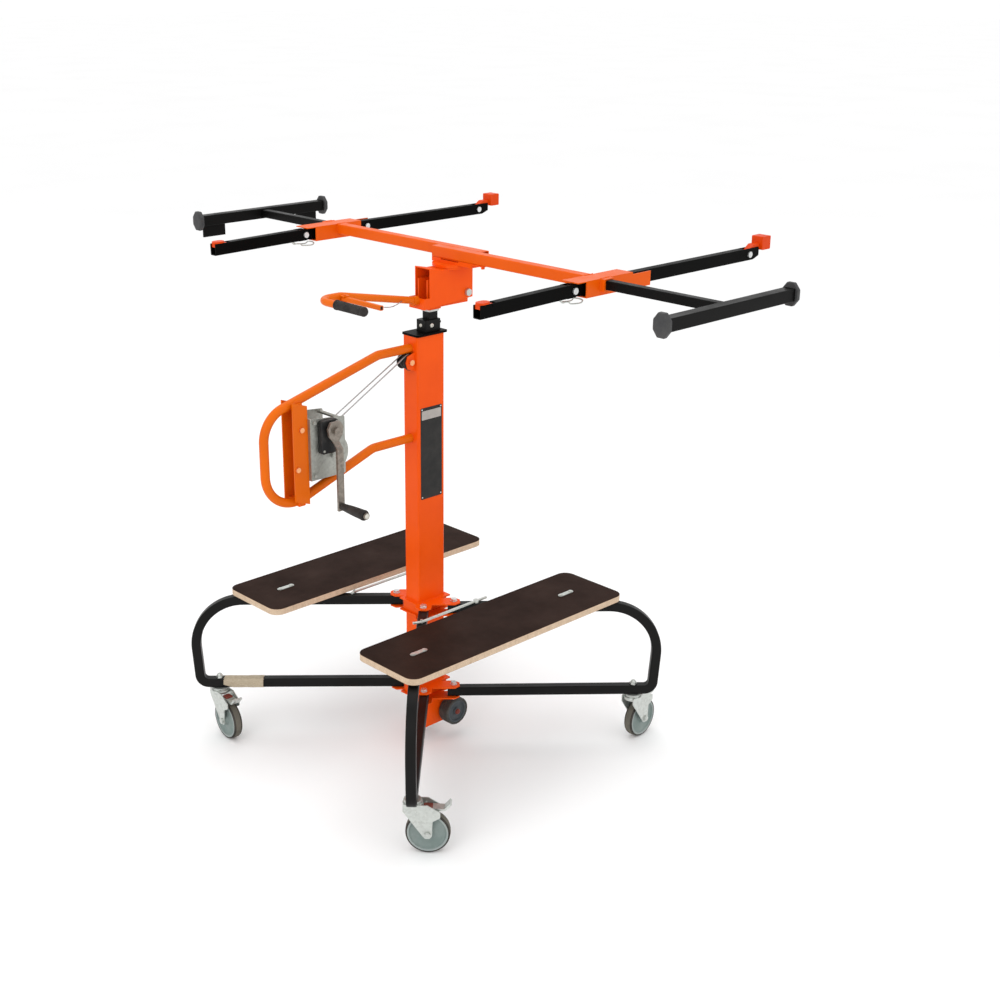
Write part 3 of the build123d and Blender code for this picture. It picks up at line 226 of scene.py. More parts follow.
def paint(name, colour, deep, worn, gloss, coat, shine=0.12):
    """Baked enamel: slow colour drift, orange peel, and thin scuffs."""
    values = {"Coat_Weight": coat, "Coat_Roughness": 0.2, "Specular_IOR_Level": shine}
    material, tree, shader, coords = start(name, **values)
    drift = noise(tree, coords, 7.0, 5.0)
    base = ramp(tree, drift, [(0.3, deep), (0.62, colour)])
    streaks = noise(tree, coords, 26.0, 9.0, 0.72, stretch=(1.0, 1.0, 0.35))
    scuffs = spread(tree, streaks, 0.0, 0.55, span=(0.68, 0.8))
    tree.links.new(blend(tree, scuffs, base, worn), shader.inputs["Base Color"])
    patches = noise(tree, coords, 16.0, 6.0)
    tree.links.new(spread(tree, patches, gloss - 0.07, gloss + 0.1), shader.inputs["Roughness"])
    relief(tree, shader, noise(tree, coords, 420.0, 2.0), 0.12, 0.0004)
    return material


def zinc(name, colour, deep, gloss, painted=None):
    """Zinc-plated steel with a soft spangle, painted over above the paint line if a colour is given."""
    material, tree, shader, coords = start(name, Metallic=0.82, IOR=1.6)
    cells = add(tree, "ShaderNodeTexVoronoi", {"Vector": coords, "Scale": 160.0}).outputs["Color"]
    cloud = noise(tree, coords, 34.0, 6.0)
    spangle = ramp(tree, cells, [(0.1, deep), (0.75, colour)])
    base = blend(tree, spread(tree, cloud, 0.0, 0.6), spangle, colour)
    if painted:
        height = add(tree, "ShaderNodeSeparateXYZ", {"Vector": coords}).outputs["Z"]
        cover = spread(tree, height, 0.0, 0.85, span=(PAINT_LINE_Z - 0.01, PAINT_LINE_Z + 0.01))
        base = blend(tree, cover, base, painted)
    tree.links.new(base, shader.inputs["Base Color"])
    handled = noise(tree, coords, 70.0, 5.0)
    tree.links.new(spread(tree, handled, gloss - 0.08, gloss + 0.14), shader.inputs["Roughness"])
    relief(tree, shader, noise(tree, coords, 600.0, 3.0), 0.08, 0.0003)
    return material


def moulded(name, colour, dusty, gloss, grain=900.0, strength=0.25):
    """Moulded plastic or rubber with a fine grain and a little dust."""
    material, tree, shader, coords = start(name, Specular_IOR_Level=0.22)
    dust = noise(tree, coords, 22.0, 8.0, 0.65)
    tree.links.new(ramp(tree, dust, [(0.42, colour), (0.72, dusty)]), shader.inputs["Base Color"])
    handled = noise(tree, coords, 40.0)
    tree.links.new(spread(tree, handled, gloss - 0.06, gloss + 0.1), shader.inputs["Roughness"])
    relief(tree, shader, noise(tree, coords, grain, 3.0), strength, 0.0004)
    return material


def film_plywood(name):
    """Dark film on both faces with a fine non-slip mesh, and bare plies round the edge."""
    material, tree, shader, coords = start(name, Specular_IOR_Level=0.04)
    drift = noise(tree, coords, 9.0, 7.0, 0.6)
    film = ramp(tree, drift, [(0.3, (0.017, 0.0075, 0.005)), (0.7, (0.028, 0.0125, 0.008))])
    trodden = noise(tree, coords, 13.0, 10.0, 0.75, stretch=(1.0, 0.25, 1.0))
    marks = spread(tree, trodden, 0.0, 0.35, span=(0.62, 0.78))
    film = blend(tree, marks, film, (0.075, 0.05, 0.038))
    layers = add(
        tree,
        "ShaderNodeTexWave",
        {"Vector": coords, "Scale": 95.0, "Distortion": 1.2, "Detail": 3.0, "Detail Scale": 6.0},
        bands_direction="Z",
    ).outputs["Fac"]
    plies = [(0.25, (0.42, 0.29, 0.19)), (0.6, (0.75, 0.58, 0.42)), (0.95, (0.85, 0.69, 0.52))]
    ply = ramp(tree, layers, plies)
    stain = noise(tree, coords, 60.0, 6.0)
    ply = blend(tree, spread(tree, stain, 0.0, 0.35), ply, (0.30, 0.20, 0.13))
    normal = add(tree, "ShaderNodeNewGeometry").outputs["True Normal"]
    up = add(tree, "ShaderNodeSeparateXYZ", {"Vector": normal}).outputs["Z"]
    flat = add(tree, "ShaderNodeMath", {0: up}, operation="ABSOLUTE").outputs["Value"]
    face = spread(tree, flat, 0.0, 1.0, span=(0.6, 0.8))
    tree.links.new(blend(tree, face, ply, film), shader.inputs["Base Color"])
    tree.links.new(spread(tree, drift, 0.62, 0.5), shader.inputs["Roughness"])
    cells = {"Vector": coords, "Scale": 330.0}
    mesh = add(tree, "ShaderNodeTexVoronoi", cells, feature="DISTANCE_TO_EDGE")
    relief(tree, shader, mesh.outputs["Distance"], 0.35, 0.0006)
    return material


def wire_rope(name):
    """Laid steel cable: a slanting lay of bright wires, with painted shade darkening the gaps between
    them.
    """
    material, tree, shader, coords = start(name, Metallic=0.85, IOR=1.6)
    lay = add(
        tree,
        "ShaderNodeTexWave",
        {"Vector": coords, "Scale": 150.0, "Distortion": 0.6, "Detail": 2.0},
        bands_direction="DIAGONAL",
    ).outputs["Fac"]
    # Dark bands of the lay are painted shade in the gaps between wires; the light bands are the steel's
    # own colour.
    strands_and_gap_shade = ramp(tree, lay, [(0.1, (0.16, 0.16, 0.165)), (0.6, (0.58, 0.58, 0.57))])
    tree.links.new(strands_and_gap_shade, shader.inputs["Base Color"])
    tree.links.new(spread(tree, noise(tree, coords, 90.0), 0.32, 0.5), shader.inputs["Roughness"])
    relief(tree, shader, lay, 0.6, 0.0006)
    return material


def paper(name):
    """Weathered tan wrap with fibres and creases."""
    material, tree, shader, coords = start(name, IOR=1.4)
    fibres = noise(tree, coords, 120.0, 8.0, 0.7, stretch=(1.0, 1.0, 3.0))
    tan = ramp(tree, fibres, [(0.3, (0.36, 0.29, 0.20)), (0.7, (0.54, 0.46, 0.34))])
    tree.links.new(tan, shader.inputs["Base Color"])
    tree.links.new(spread(tree, fibres, 0.7, 0.9), shader.inputs["Roughness"])
    relief(tree, shader, noise(tree, coords, 48.0, 8.0, 0.7), 0.5, 0.0012)
    return material


ORANGE = paint(
    "orange_enamel", (0.84, 0.088, 0.001), (0.78, 0.076, 0.001), (0.54, 0.05, 0.002),
    gloss=0.38, coat=0.02,
)
FRAME_ORANGE = paint(
    "frame_enamel", (0.71, 0.128, 0.001), (0.65, 0.112, 0.001), (0.47, 0.06, 0.002),
    gloss=0.36, coat=0.02,
)
CRADLE_ORANGE = paint(
    "cradle_enamel", (0.75, 0.102, 0.001), (0.69, 0.09, 0.001), (0.5, 0.05, 0.002),
    gloss=0.38, coat=0.02,
)
STOP_ORANGE = paint(
    "stop_enamel", (0.67, 0.054, 0.001), (0.6, 0.045, 0.001), (0.42, 0.035, 0.002),
    gloss=0.4, coat=0.02,
)
ARM_BLACK = paint(
    "arm_enamel", (0.0022, 0.0021, 0.0019), (0.0014, 0.0014, 0.0013), (0.016, 0.015, 0.014),
    gloss=0.4, coat=0.0, shine=0.035,
)
T_BLACK = paint(
    "extension_enamel", (0.0038, 0.0036, 0.0034), (0.0026, 0.0025, 0.0024), (0.02, 0.019, 0.018),
    gloss=0.38, coat=0.0, shine=0.08,
)
BLACK = paint(
    "black_enamel", (0.006, 0.0057, 0.0053), (0.004, 0.004, 0.0038), (0.028, 0.027, 0.025),
    gloss=0.36, coat=0.02,
)
ZINC = zinc("zinc_plate", (0.58, 0.605, 0.575), (0.46, 0.48, 0.45), 0.36)
DULL_ZINC = zinc("winch_zinc", (0.38, 0.385, 0.35), (0.27, 0.272, 0.25), 0.42)
CRANK_STEEL = zinc("crank_steel", (0.27, 0.235, 0.20), (0.15, 0.13, 0.11), 0.4)
FRAME_BOLT = zinc(
    "frame_bolt", (0.72, 0.73, 0.72), (0.52, 0.53, 0.53), 0.26, painted=(0.86, 0.33, 0.09),
)
BRIGHT = zinc("bright_bolt", (0.72, 0.73, 0.72), (0.52, 0.53, 0.53), 0.26)
ROPE = wire_rope("steel_rope")
PLASTIC = moulded("black_plastic", (0.012, 0.012, 0.0125), (0.04, 0.038, 0.035), 0.45)
CAP = moulded("cap_plastic", (0.043, 0.043, 0.045), (0.068, 0.067, 0.065), 0.5)
RUBBER = moulded("grip_rubber", (0.018, 0.0155, 0.0145), (0.046, 0.041, 0.038), 0.62, 700.0, 0.35)
TYRE = moulded("tyre_rubber", (0.105, 0.097, 0.078), (0.17, 0.158, 0.13), 0.72, 500.0, 0.4)
WALL = moulded("tyre_wall_rubber", (0.034, 0.030, 0.026), (0.075, 0.068, 0.058), 0.7, 500.0, 0.4)
WHEEL = moulded("wheel_plastic", (0.18, 0.228, 0.215), (0.25, 0.29, 0.275), 0.5, 800.0, 0.15)
RIM = moulded("rim_plastic", (0.29, 0.335, 0.325), (0.35, 0.385, 0.37), 0.48, 800.0, 0.15)
HUB = moulded("hub_plastic", (0.062, 0.072, 0.08), (0.11, 0.12, 0.125), 0.45, 800.0, 0.15)
TREAD = moulded("tread_rubber", (0.052, 0.052, 0.047), (0.11, 0.108, 0.098), 0.66, 500.0, 0.4)
RED = moulded("red_brown_plastic", (0.18, 0.036, 0.024), (0.25, 0.075, 0.055), 0.45)
PALE = moulded("pale_plastic", (0.62, 0.60, 0.54), (0.48, 0.46, 0.41), 0.5)
PLY = film_plywood("film_plywood")
PAPER = paper("paper_wrap")
PLATE = moulded("plate_film", (0.011, 0.0105, 0.010), (0.024, 0.022, 0.02), 0.34, 300.0, 0.06)
HEADER = moulded("plate_header", (0.42, 0.39, 0.36), (0.33, 0.30, 0.28), 0.42, 300.0, 0.06)

NODE_MATERIALS = {
    "orange_paint": ORANGE,
    "black_paint": BLACK,
    "zinc": ZINC,
    "cable_steel": ROPE,
    "black_plastic": PLASTIC,
    "grip_rubber": RUBBER,
    "wheel_grey": WHEEL,
    "film_ply": PLY,
}
SPECIAL = {
    "winch_side_plates": DULL_ZINC,
    "winch_drum": DULL_ZINC,
    "crank_arm": CRANK_STEEL,
    "frame_bolts": FRAME_BOLT,
    "arm_bolts": BRIGHT,
    "cradle_beam": CRADLE_ORANGE,
    "far_arms": ARM_BLACK,
    "mast_top_plate": ARM_BLACK,
    "winch_frame": FRAME_ORANGE,
    "winch_channel": FRAME_ORANGE,
    "tilt_handle": FRAME_ORANGE,
    "release_lever": FRAME_ORANGE,
}
for place in SIGNS:
    SPECIAL["near_arm_" + place] = ARM_BLACK
    SPECIAL["t_bar_" + place] = T_BLACK
    SPECIAL["near_stop_" + place] = STOP_ORANGE
    SPECIAL["far_stop_" + place] = STOP_ORANGE
for sub in frame["record"]["subparts"]:
    shown = NODES[sub["node"]]
    shown.data.materials.clear()
    shown.data.materials.append(SPECIAL.get(sub["node"], NODE_MATERIALS[sub["material_slot"]]))


# Mesh helpers

def finish_piece(name, bm, material, body, smooth):
    """A mesh piece riding on a body, with edges sharp above an angle in degrees."""
    bmesh.ops.recalc_face_normals(bm, faces=bm.faces)
    mesh = bpy.data.meshes.new(name)
    bm.to_mesh(mesh)
    bm.free()
    piece = bpy.data.objects.new(name, mesh)
    bpy.context.scene.collection.objects.link(piece)
    mesh.materials.append(material)
    for polygon in mesh.polygons:
        polygon.use_smooth = True
    mesh.set_sharp_from_angle(angle=radians(smooth))
    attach(piece, body)
    return piece


def turn_to(axis):
    """The turn that takes z to an axis."""
    return Z.rotation_difference(axis).to_matrix()


def lathe(bm, profile, at, axis, segments=56, closed=False):
    """Turns (radius, along) points round an axis through a point; the ends are capped unless closed."""
    turn = turn_to(axis)
    rings = []
    for r, along in profile:
        ring = []
        for i in range(segments):
            a = 2 * pi * i / segments
            ring.append(bm.verts.new(at + turn @ Vector((r * cos(a), r * sin(a), along))))
        rings.append(ring)
    pairs = list(zip(rings, rings[1:]))
    if closed:
        pairs.append((rings[-1], rings[0]))
    for one, two in pairs:
        for i in range(segments):
            j = (i + 1) % segments
            bm.faces.new((one[i], one[j], two[j], two[i]))
    if not closed:
        bm.faces.new(rings[0])
        bm.faces.new(rings[-1])


def loft(bm, rings, close=True):
    """Skins rings of points in order, and closes both ends if asked."""
    made = [[bm.verts.new(p) for p in ring] for ring in rings]
    count = len(made[0])
    for one, two in zip(made, made[1:]):
        for i in range(count):
            j = (i + 1) % count
            bm.faces.new((one[i], one[j], two[j], two[i]))
    if close:
        bm.faces.new(made[0])
        bm.faces.new(made[-1])


def rounded_square(half_u, half_v, radius, steps=5):
    """Points round a rectangle with rounded corners."""
    points = []
    for cu, cv, a0 in ((1, 1, 0.0), (-1, 1, 0.5 * pi), (-1, -1, pi), (1, -1, 1.5 * pi)):
        for i in range(steps + 1):
            a = a0 + 0.5 * pi * i / steps
            u = cu * (half_u - radius) + radius * cos(a)
            v = cv * (half_v - radius) + radius * sin(a)
            points.append((u, v))
    return points


def slab(bm, at, u, v, half_u, half_v, thick, radius, edge=0.0):
    """A plate with rounded corners, standing on a point along u x v; edge rounds its upper rim."""
    n = u.cross(v)
    levels = [(0.0, 0.0), (thick - edge, 0.0), (thick, edge)] if edge else [(0.0, 0.0), (thick, 0.0)]
    rings = []
    for height, inset in levels:
        shape = rounded_square(half_u - inset, half_v - inset, max(radius - inset, 0.0002))
        rings.append([at + u * a + v * b + n * height for a, b in shape])
    loft(bm, rings)


def hex_screw(bm, at, axis, flats, height, washer=None):
    """A hexagon head with a chamfered top, on an optional washer."""
    turn = turn_to(axis)
    base = 0.0
    if washer:
        lathe(bm, [(washer, 0.0), (washer, 0.0011), (washer - 0.0003, 0.0014)], at, axis, 32)
        base = 0.0014
    rings = []
    for k, along in ((1.0, base), (1.0, base + height * 0.82), (0.86, base + height)):
        r = k * flats / 2 / cos(pi / 6)
        corners = [i * pi / 3 for i in range(6)]
        rings.append([at + turn @ Vector((r * cos(a), r * sin(a), along)) for a in corners])
    loft(bm, rings)


def pan_screw(bm, at, axis, radius, height):
    """A low domed head with a small drive recess."""
    dome = ((1.0, 0.0), (1.0, 0.35), (0.86, 0.75), (0.55, 1.0), (0.34, 1.0), (0.3, 0.5))
    lathe(bm, [(radius * r, height * h) for r, h in dome], at, axis, 24)


def bead(bm, points, thick, closed=False):
    """A weld bead along points, with the ripple of its runs."""
    count = len(points)
    rings = []
    for i, p in enumerate(points):
        ahead = points[(i + 1) % count] if closed or i + 1 < count else p
        behind = points[i - 1] if closed or i else p
        way = (ahead - behind).normalized()
        side = way.orthogonal().normalized()
        other = way.cross(side)
        r = thick * (1.0 + 0.16 * sin(i * 2.1) + 0.07 * sin(i * 0.73))
        turns = [k * pi / 4 for k in range(8)]
        rings.append([p + side * (r * cos(a)) + other * (r * sin(a)) for a in turns])
    if closed:
        rings.append(rings[0])
    loft(bm, rings, close=not closed)
    if closed:
        bmesh.ops.remove_doubles(bm, verts=bm.verts, dist=1e-6)


def ring_points(at, axis, radius, count):
    """Points round a circle."""
    turn = turn_to(axis)
    angles = [2 * pi * i / count for i in range(count)]
    return [at + turn @ Vector((radius * cos(a), radius * sin(a), 0)) for a in angles]


def run_points(a, b, step=0.003):
    """Points along a straight run, about a step apart."""
    count = max(2, int((b - a).length / step))
    return [a.lerp(b, i / count) for i in range(count + 1)]


def wire(name, points, radius, material, body):
    """A bent wire as a smooth curve."""
    data = bpy.data.curves.new(name, "CURVE")
    data.dimensions = "3D"
    data.bevel_depth = radius
    data.bevel_resolution = 4
    data.use_fill_caps = True
    line = data.splines.new("NURBS")
    line.points.add(len(points) - 1)
    for point, place in zip(line.points, points):
        point.co = (*place, 1.0)
    line.order_u = 3
    line.use_endpoint_u = True
    piece = bpy.data.objects.new(name, data)
    bpy.context.scene.collection.objects.link(piece)
    data.materials.append(material)
    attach(piece, body)


# Casters

def on_leg(name, along):
    """A point of a leg's centre line, seen from above."""
    a = radians(LEG_ANGLES[name])
    aside = LEG_ASIDE[name]
    return Vector((along * cos(a) + aside * sin(a), along * sin(a) - aside * cos(a), 0))


def caster_axes(name):
    """A caster's stem on the floor plan, its trailing direction and its wheel's axis."""
    t = radians(TRAIL_ANGLES[name])
    stem = on_leg(name, STEM_REACH)
    return stem, Vector((cos(t), sin(t), 0)), Vector((-sin(t), cos(t), 0))


def mirrored(half):
    """A profile of (radius, along) from its outer half, given from along > 0 inwards."""
    return half + [(r, -along) for r, along in reversed(half)]


def caster(name):
    """A caster's wheel with tyre and rim, its raceway, and the insert of its brake pedal."""
    stem, u, v = caster_axes(name)
    hub = stem + u * WHEEL_TRAIL + Z * WHEEL_Z
    body = name + "_wheel"
    tyre = bmesh.new()
    crown = [(0.0549, 0.0085), (0.0597, 0.0085), (0.0600, 0.0050), (0.0600, 0.0018)]
    lathe(tyre, mirrored(crown), hub, v, 80, closed=True)
    tyre = finish_piece(name + "_tyre", tyre, TYRE, body, 30)
    walls = bmesh.new()
    wall = [(0.0549, 0.0087), (0.0549, 0.0130), (0.0556, 0.0138), (0.0568, 0.0138), (0.0582, 0.0128)]
    wall += [(0.0592, 0.0110), (0.0596, 0.0087)]
    for side in (-1, 1):
        lathe(walls, [(r, side * along) for r, along in wall], hub, v, 80, closed=True)
    walls = finish_piece(name + "_tyre_walls", walls, WALL, body, 30)
    centre = bmesh.new()
    dish = [(0.0056, 0.0182), (0.0125, 0.0182), (0.0145, 0.0172), (0.0155, 0.0125), (0.0180, 0.0095)]
    dish += [(0.0240, 0.0086), (0.0440, 0.0084), (0.0480, 0.0092), (0.0497, 0.0108)]
    lathe(centre, mirrored(dish), hub, v, 72, closed=True)
    for k in range(WHEEL_RIBS):
        a = 2 * pi * k / WHEEL_RIBS
        out = u * cos(a) + Z * sin(a)
        across = u * -sin(a) + Z * cos(a)
        for side in (-1, 1):
            foot = hub + out * 0.032 + v * (side * 0.0072)
            slab(centre, foot, out * side, across, 0.0150, 0.0011, 0.0030, 0.0008, 0.0006)
    centre = finish_piece(name + "_wheel_centre", centre, WHEEL, body, 35)
    rim = bmesh.new()
    band = [(0.0495, 0.0104), (0.0502, 0.0130), (0.0511, 0.0137), (0.0538, 0.0137), (0.0548, 0.0131)]
    lathe(rim, mirrored(band), hub, v, 80, closed=True)
    rim = finish_piece(name + "_rim", rim, RIM, body, 30)
    for piece in (tyre, walls, centre, rim):
        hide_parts(name + "_caster_wheel")

    race = bmesh.new()
    lower = [(0.0262, 0.0), (0.0272, 0.0008), (0.0272, 0.0030), (0.0262, 0.0042)]
    upper = [(0.0232, 0.0), (0.0246, 0.0006), (0.0246, 0.0022), (0.0232, 0.0030)]
    lathe(race, lower, stem + Z * LOWER_RACE_Z, Z, 56)
    lathe(race, upper, stem + Z * UPPER_RACE_Z, Z, 56)
    finish_piece(name + "_raceway", race, ZINC, name + "_fork", 40)

    pad = bmesh.new()
    slab(pad, stem + u * PAD_OUT + Z * PAD_Z, u, v, 0.0125, 0.0125, 0.0024, 0.003, 0.0008)
    for k in range(PAD_RIBS):
        rib = stem + u * (PAD_RIB_FROM + PAD_RIB_STEP * k) + Z * PAD_RIB_Z
        slab(pad, rib, u, v, 0.0012, 0.0100, 0.0008, 0.0008, 0.0003)
    finish_piece(name + "_pedal_pad", pad, RED, name + "_pedal", 40)


for caster_name in LEG_ANGLES:
    caster(caster_name)


# Transport wheels

def transport_wheel(label, side):
    """A small wheel at the mast's foot: grooved tread, dished disc and axle cap."""
    middle = Vector((side * TRANSPORT_X, TRANSPORT_Y, TRANSPORT_Z))
    tread = bmesh.new()
    crown = [(0.0358, 0.0182), (0.0380, 0.0190), (0.0405, 0.0188), (0.0423, 0.0172), (0.0430, 0.0150)]
    for k in range(3):
        edge = 0.0130 - 0.0045 * k
        groove = ((0.0430, 0.0), (0.0421, 0.0004), (0.0421, 0.0012), (0.0430, 0.0016))
        crown += [(r, edge - down) for r, down in groove]
    lathe(tread, mirrored(crown), middle, X, 72, closed=True)
    tread = finish_piece("transport_tread_" + label, tread, TREAD, "transport", 30)
    disc = bmesh.new()
    face = [(0.0062, 0.0184), (0.0105, 0.0184), (0.0120, 0.0174), (0.0130, 0.0130), (0.0165, 0.0118)]
    face += [(0.0265, 0.0118), (0.0290, 0.0130), (0.0305, 0.0168), (0.0320, 0.0180)]
    face += [(0.0350, 0.0180), (0.0359, 0.0170)]
    lathe(disc, mirrored(face), middle, X, 64, closed=True)
    disc = finish_piece("transport_disc_" + label, disc, HUB, "transport", 35)
    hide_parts("transport_wheels")
    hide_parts("transport_wheels")
    cap = bmesh.new()
    dome = [(0.0088, 0.0), (0.0088, 0.0022), (0.0080, 0.0042), (0.0058, 0.0056), (0.0020, 0.0062)]
    lathe(cap, dome, Vector((side * AXLE_CAP_X, TRANSPORT_Y, TRANSPORT_Z)), X * side, 32)
    finish_piece("axle_cap_" + label, cap, RED, "transport", 50)


for place, sign in SIGNS.items():
    transport_wheel(place, sign)


# Grips

def crank_grip():
    """The tapered, ribbed grip on the crank's pin, and the pin's cap."""
    bm = bmesh.new()
    profile = [(0.0052, 0.0), (0.0082, 0.0), (0.0096, 0.0010), (0.0101, 0.0028), (0.0096, 0.0046)]
    for i in range(25):
        t = i / 24
        swell = 0.0095 + 0.0042 * t + 0.0008 * sin(pi * t)
        profile.append((swell + 0.00026 * (1 if i % 2 else -1), 0.007 + 0.078 * t))
    profile += [(0.0144, 0.0868), (0.0147, 0.0892), (0.0142, 0.0925), (0.0126, 0.0952)]
    profile += [(0.0104, 0.0960), (0.0052, 0.0960)]
    lathe(bm, profile, Vector((CRANK_GRIP_X, CRANK_PIN_Y, CRANK_PIN_Z)), X, 56, closed=True)
    grip = finish_piece("crank_hand_grip", bm, RUBBER, "crank_handle", 30)
    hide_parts("crank_grip")
    cap = bmesh.new()
    dome = [(0.0068, 0.0), (0.0068, 0.0010), (0.0060, 0.0020), (0.0036, 0.0026)]
    lathe(cap, dome, Vector((CRANK_CAP_X, CRANK_PIN_Y, CRANK_PIN_Z)), X, 32)
    finish_piece("crank_pin_cap", cap, PALE, "crank", 40)


def tilt_grip():
    """The ribbed grip on the tilt handle."""
    bm = bmesh.new()
    profile = [(0.01005, 0.0), (0.0124, 0.0), (0.0132, 0.0010), (0.0133, 0.0036), (0.0127, 0.0048)]
    profile.append((0.0116, 0.0056))
    for i in range(19):
        base = 0.008 + 0.0050 * i
        ridge = ((0.0117, 0.0), (0.0124, 0.0009), (0.0124, 0.0030), (0.0117, 0.0039))
        profile += [(r, base + on) for r, on in ridge]
    profile += [(0.0117, 0.1045), (0.0125, 0.1060), (0.0124, 0.1100), (0.0108, 0.1130)]
    profile += [(0.0078, 0.1147), (0.0030, 0.1150)]
    lathe(bm, profile, Vector((HANDLE_GRIP_X, HANDLE_Y, HANDLE_Z)), X, 56)
    grip = finish_piece("tilt_hand_grip", bm, RUBBER, "head", 30)
    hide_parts("handle_grip")


def lever_end_shade_plug():
    """A dark plug flush in the release lever's open end, standing in as painted shade for the hollow
    tube's inside.
    """
    bm = bmesh.new()
    rings = []
    for x, inset in ((0.1570, 0.0), (0.1654, 0.0), (0.1658, 0.0004), (0.1658, 0.0011), (0.1638, 0.0015)):
        shape = rounded_square(LEVER_BORE_Y - inset, LEVER_BORE_Z - inset, 0.001)
        rings.append([Vector((x, LEVER_Y + a, LEVER_Z + b)) for a, b in shape])
    loft(bm, rings)
    # This black plug is painted shade where the open end of the tube looks dark.
    finish_piece("lever_end_shade_plug", bm, PLASTIC, "lever", 35)


crank_grip()
tilt_grip()
lever_end_shade_plug()


# Mast fittings

def mast_plate():
    """A bare plate with a paler strip at its top, riveted to the mast's side."""
    plate = bmesh.new()
    foot = Vector((MAST_FACE_X + 0.00001, 0, PLATE_Z))
    slab(plate, foot, Y, Z, PLATE_HALF_Y, PLATE_HALF_Z, 0.0008, 0.004, 0.0003)
    finish_piece("mast_plate", plate, PLATE, "mast", 30)
    strip = bmesh.new()
    slab(strip, Vector((PLATE_TOP_X, 0, PLATE_HEADER_Z)), Y, Z, 0.036, 0.013, 0.0003, 0.002, 0.0001)
    finish_piece("mast_plate_header", strip, HEADER, "mast", 30)
    rivets = bmesh.new()
    for y in (-RIVET_Y, RIVET_Y):
        for z in RIVET_Z:
            pan_screw(rivets, Vector((PLATE_TOP_X, y, z)), X, 0.0022, 0.0009)
    finish_piece("mast_plate_rivets", rivets, BRIGHT, "mast", 30)


def mast_head():
    """The ring on the inner mast below the head, and the screws near the middle mast's top."""
    ring = bmesh.new()
    inner = rounded_square(0.0151, 0.0161, 0.003)
    outer = rounded_square(0.0185, 0.0195, 0.004)
    centre = Vector((0, INNER_MAST_Y, 0))
    levels = [(inner, 1.3125), (outer, 1.3125), (outer, 1.3172), (inner, 1.3178)]
    rings = [[centre + X * a + Y * b + Z * z for a, b in shape] for shape, z in levels]
    loft(ring, rings + [rings[0]], close=False)
    finish_piece("inner_mast_ring", ring, ZINC, "mast_inner", 30)
    screws = bmesh.new()
    pan_screw(screws, Vector((0.020, 0.012, MAST_SCREW_Z)), X, 0.0058, 0.0035)
    pan_screw(screws, Vector((0.0, -0.010, MAST_SCREW_Z)), -Y, 0.0050, 0.0030)
    finish_piece("middle_mast_screws", screws, PALE, "mast_middle", 30)


def seam(bm, start, end, thick):
    """A straight bead from one place to another."""
    bead(bm, run_points(Vector(start), Vector(end)), thick)


def frame_seam(bm, corners, thick):
    """Beads along the sides of a closed outline."""
    for a, b in zip(corners, corners[1:] + corners[:1]):
        seam(bm, a, b, thick)


def mast_welds():
    """Beads of the winch frame, the leg brackets, the channel, the pulley cheeks and the axle plates."""
    bm = bmesh.new()
    for z in (FRAME_TOP_Z, FRAME_FOOT_Z):
        loop = ring_points(Vector((0, FRAME_WELD_Y, z)), Y, FRAME_WELD_RADIUS, 60)
        bead(bm, loop, 0.0017, closed=True)
    outline = ((0.0305, 0.0505), (-0.0305, 0.0505), (-0.0305, -0.0505), (0.0305, -0.0505))
    for z_mid in (TOP_BAR_Z, LOW_BAR_Z):
        for z in (z_mid + BRACKET_HALF, z_mid - BRACKET_HALF):
            frame_seam(bm, [(x, y, z) for x, y in outline], 0.0015)
    for side in (-1, 1):
        channel_x = side * 0.0212
        for y in (-0.461, -0.443):
            for z in (0.870, 1.130):
                seam(bm, (channel_x, y, z - 0.008), (channel_x, y, z + 0.008), 0.0014)
        cheek_x = side * 0.0196
        seam(bm, (cheek_x, -0.0503, 1.159), (cheek_x, -0.0503, 1.207), 0.0014)
        for axle_plate_x in (side * 0.0205, side * 0.0275):
            seam(bm, (axle_plate_x, 0.0503, 0.060), (axle_plate_x, 0.0503, 0.110), 0.0013)
    finish_piece("mast_welds", bm, ORANGE, "mast", 60)


def cradle_welds():
    """Beads round each half-beam at its sleeve, round each collar, and along the beams' seam."""
    bm = bmesh.new()
    joints = ((0.5128, 0.0155, 1.4465, 1.4772), (0.5672, 0.0172, 1.4458, 1.4772))
    for place, side in SIGNS.items():
        y = BEAM_Y[place]
        for x, half, low, high in joints:
            outline = ((y - half, low), (y - half, high), (y + half, high), (y + half, low))
            frame_seam(bm, [(side * x, p, z) for p, z in outline], 0.0013)
    for x0 in (-0.052, 0.004, 0.060):
        x1 = x0 + BEAM_SEAM_LENGTH
        seam(bm, (x0, BEAM_SEAM_Y, BEAM_SEAM_Z), (x1, BEAM_SEAM_Y, BEAM_SEAM_Z), 0.0016)
    finish_piece("cradle_welds", bm, CRADLE_ORANGE, "cradle", 60)


mast_plate()
mast_head()
mast_welds()
cradle_welds()


# Wrap on the left leg's low bar

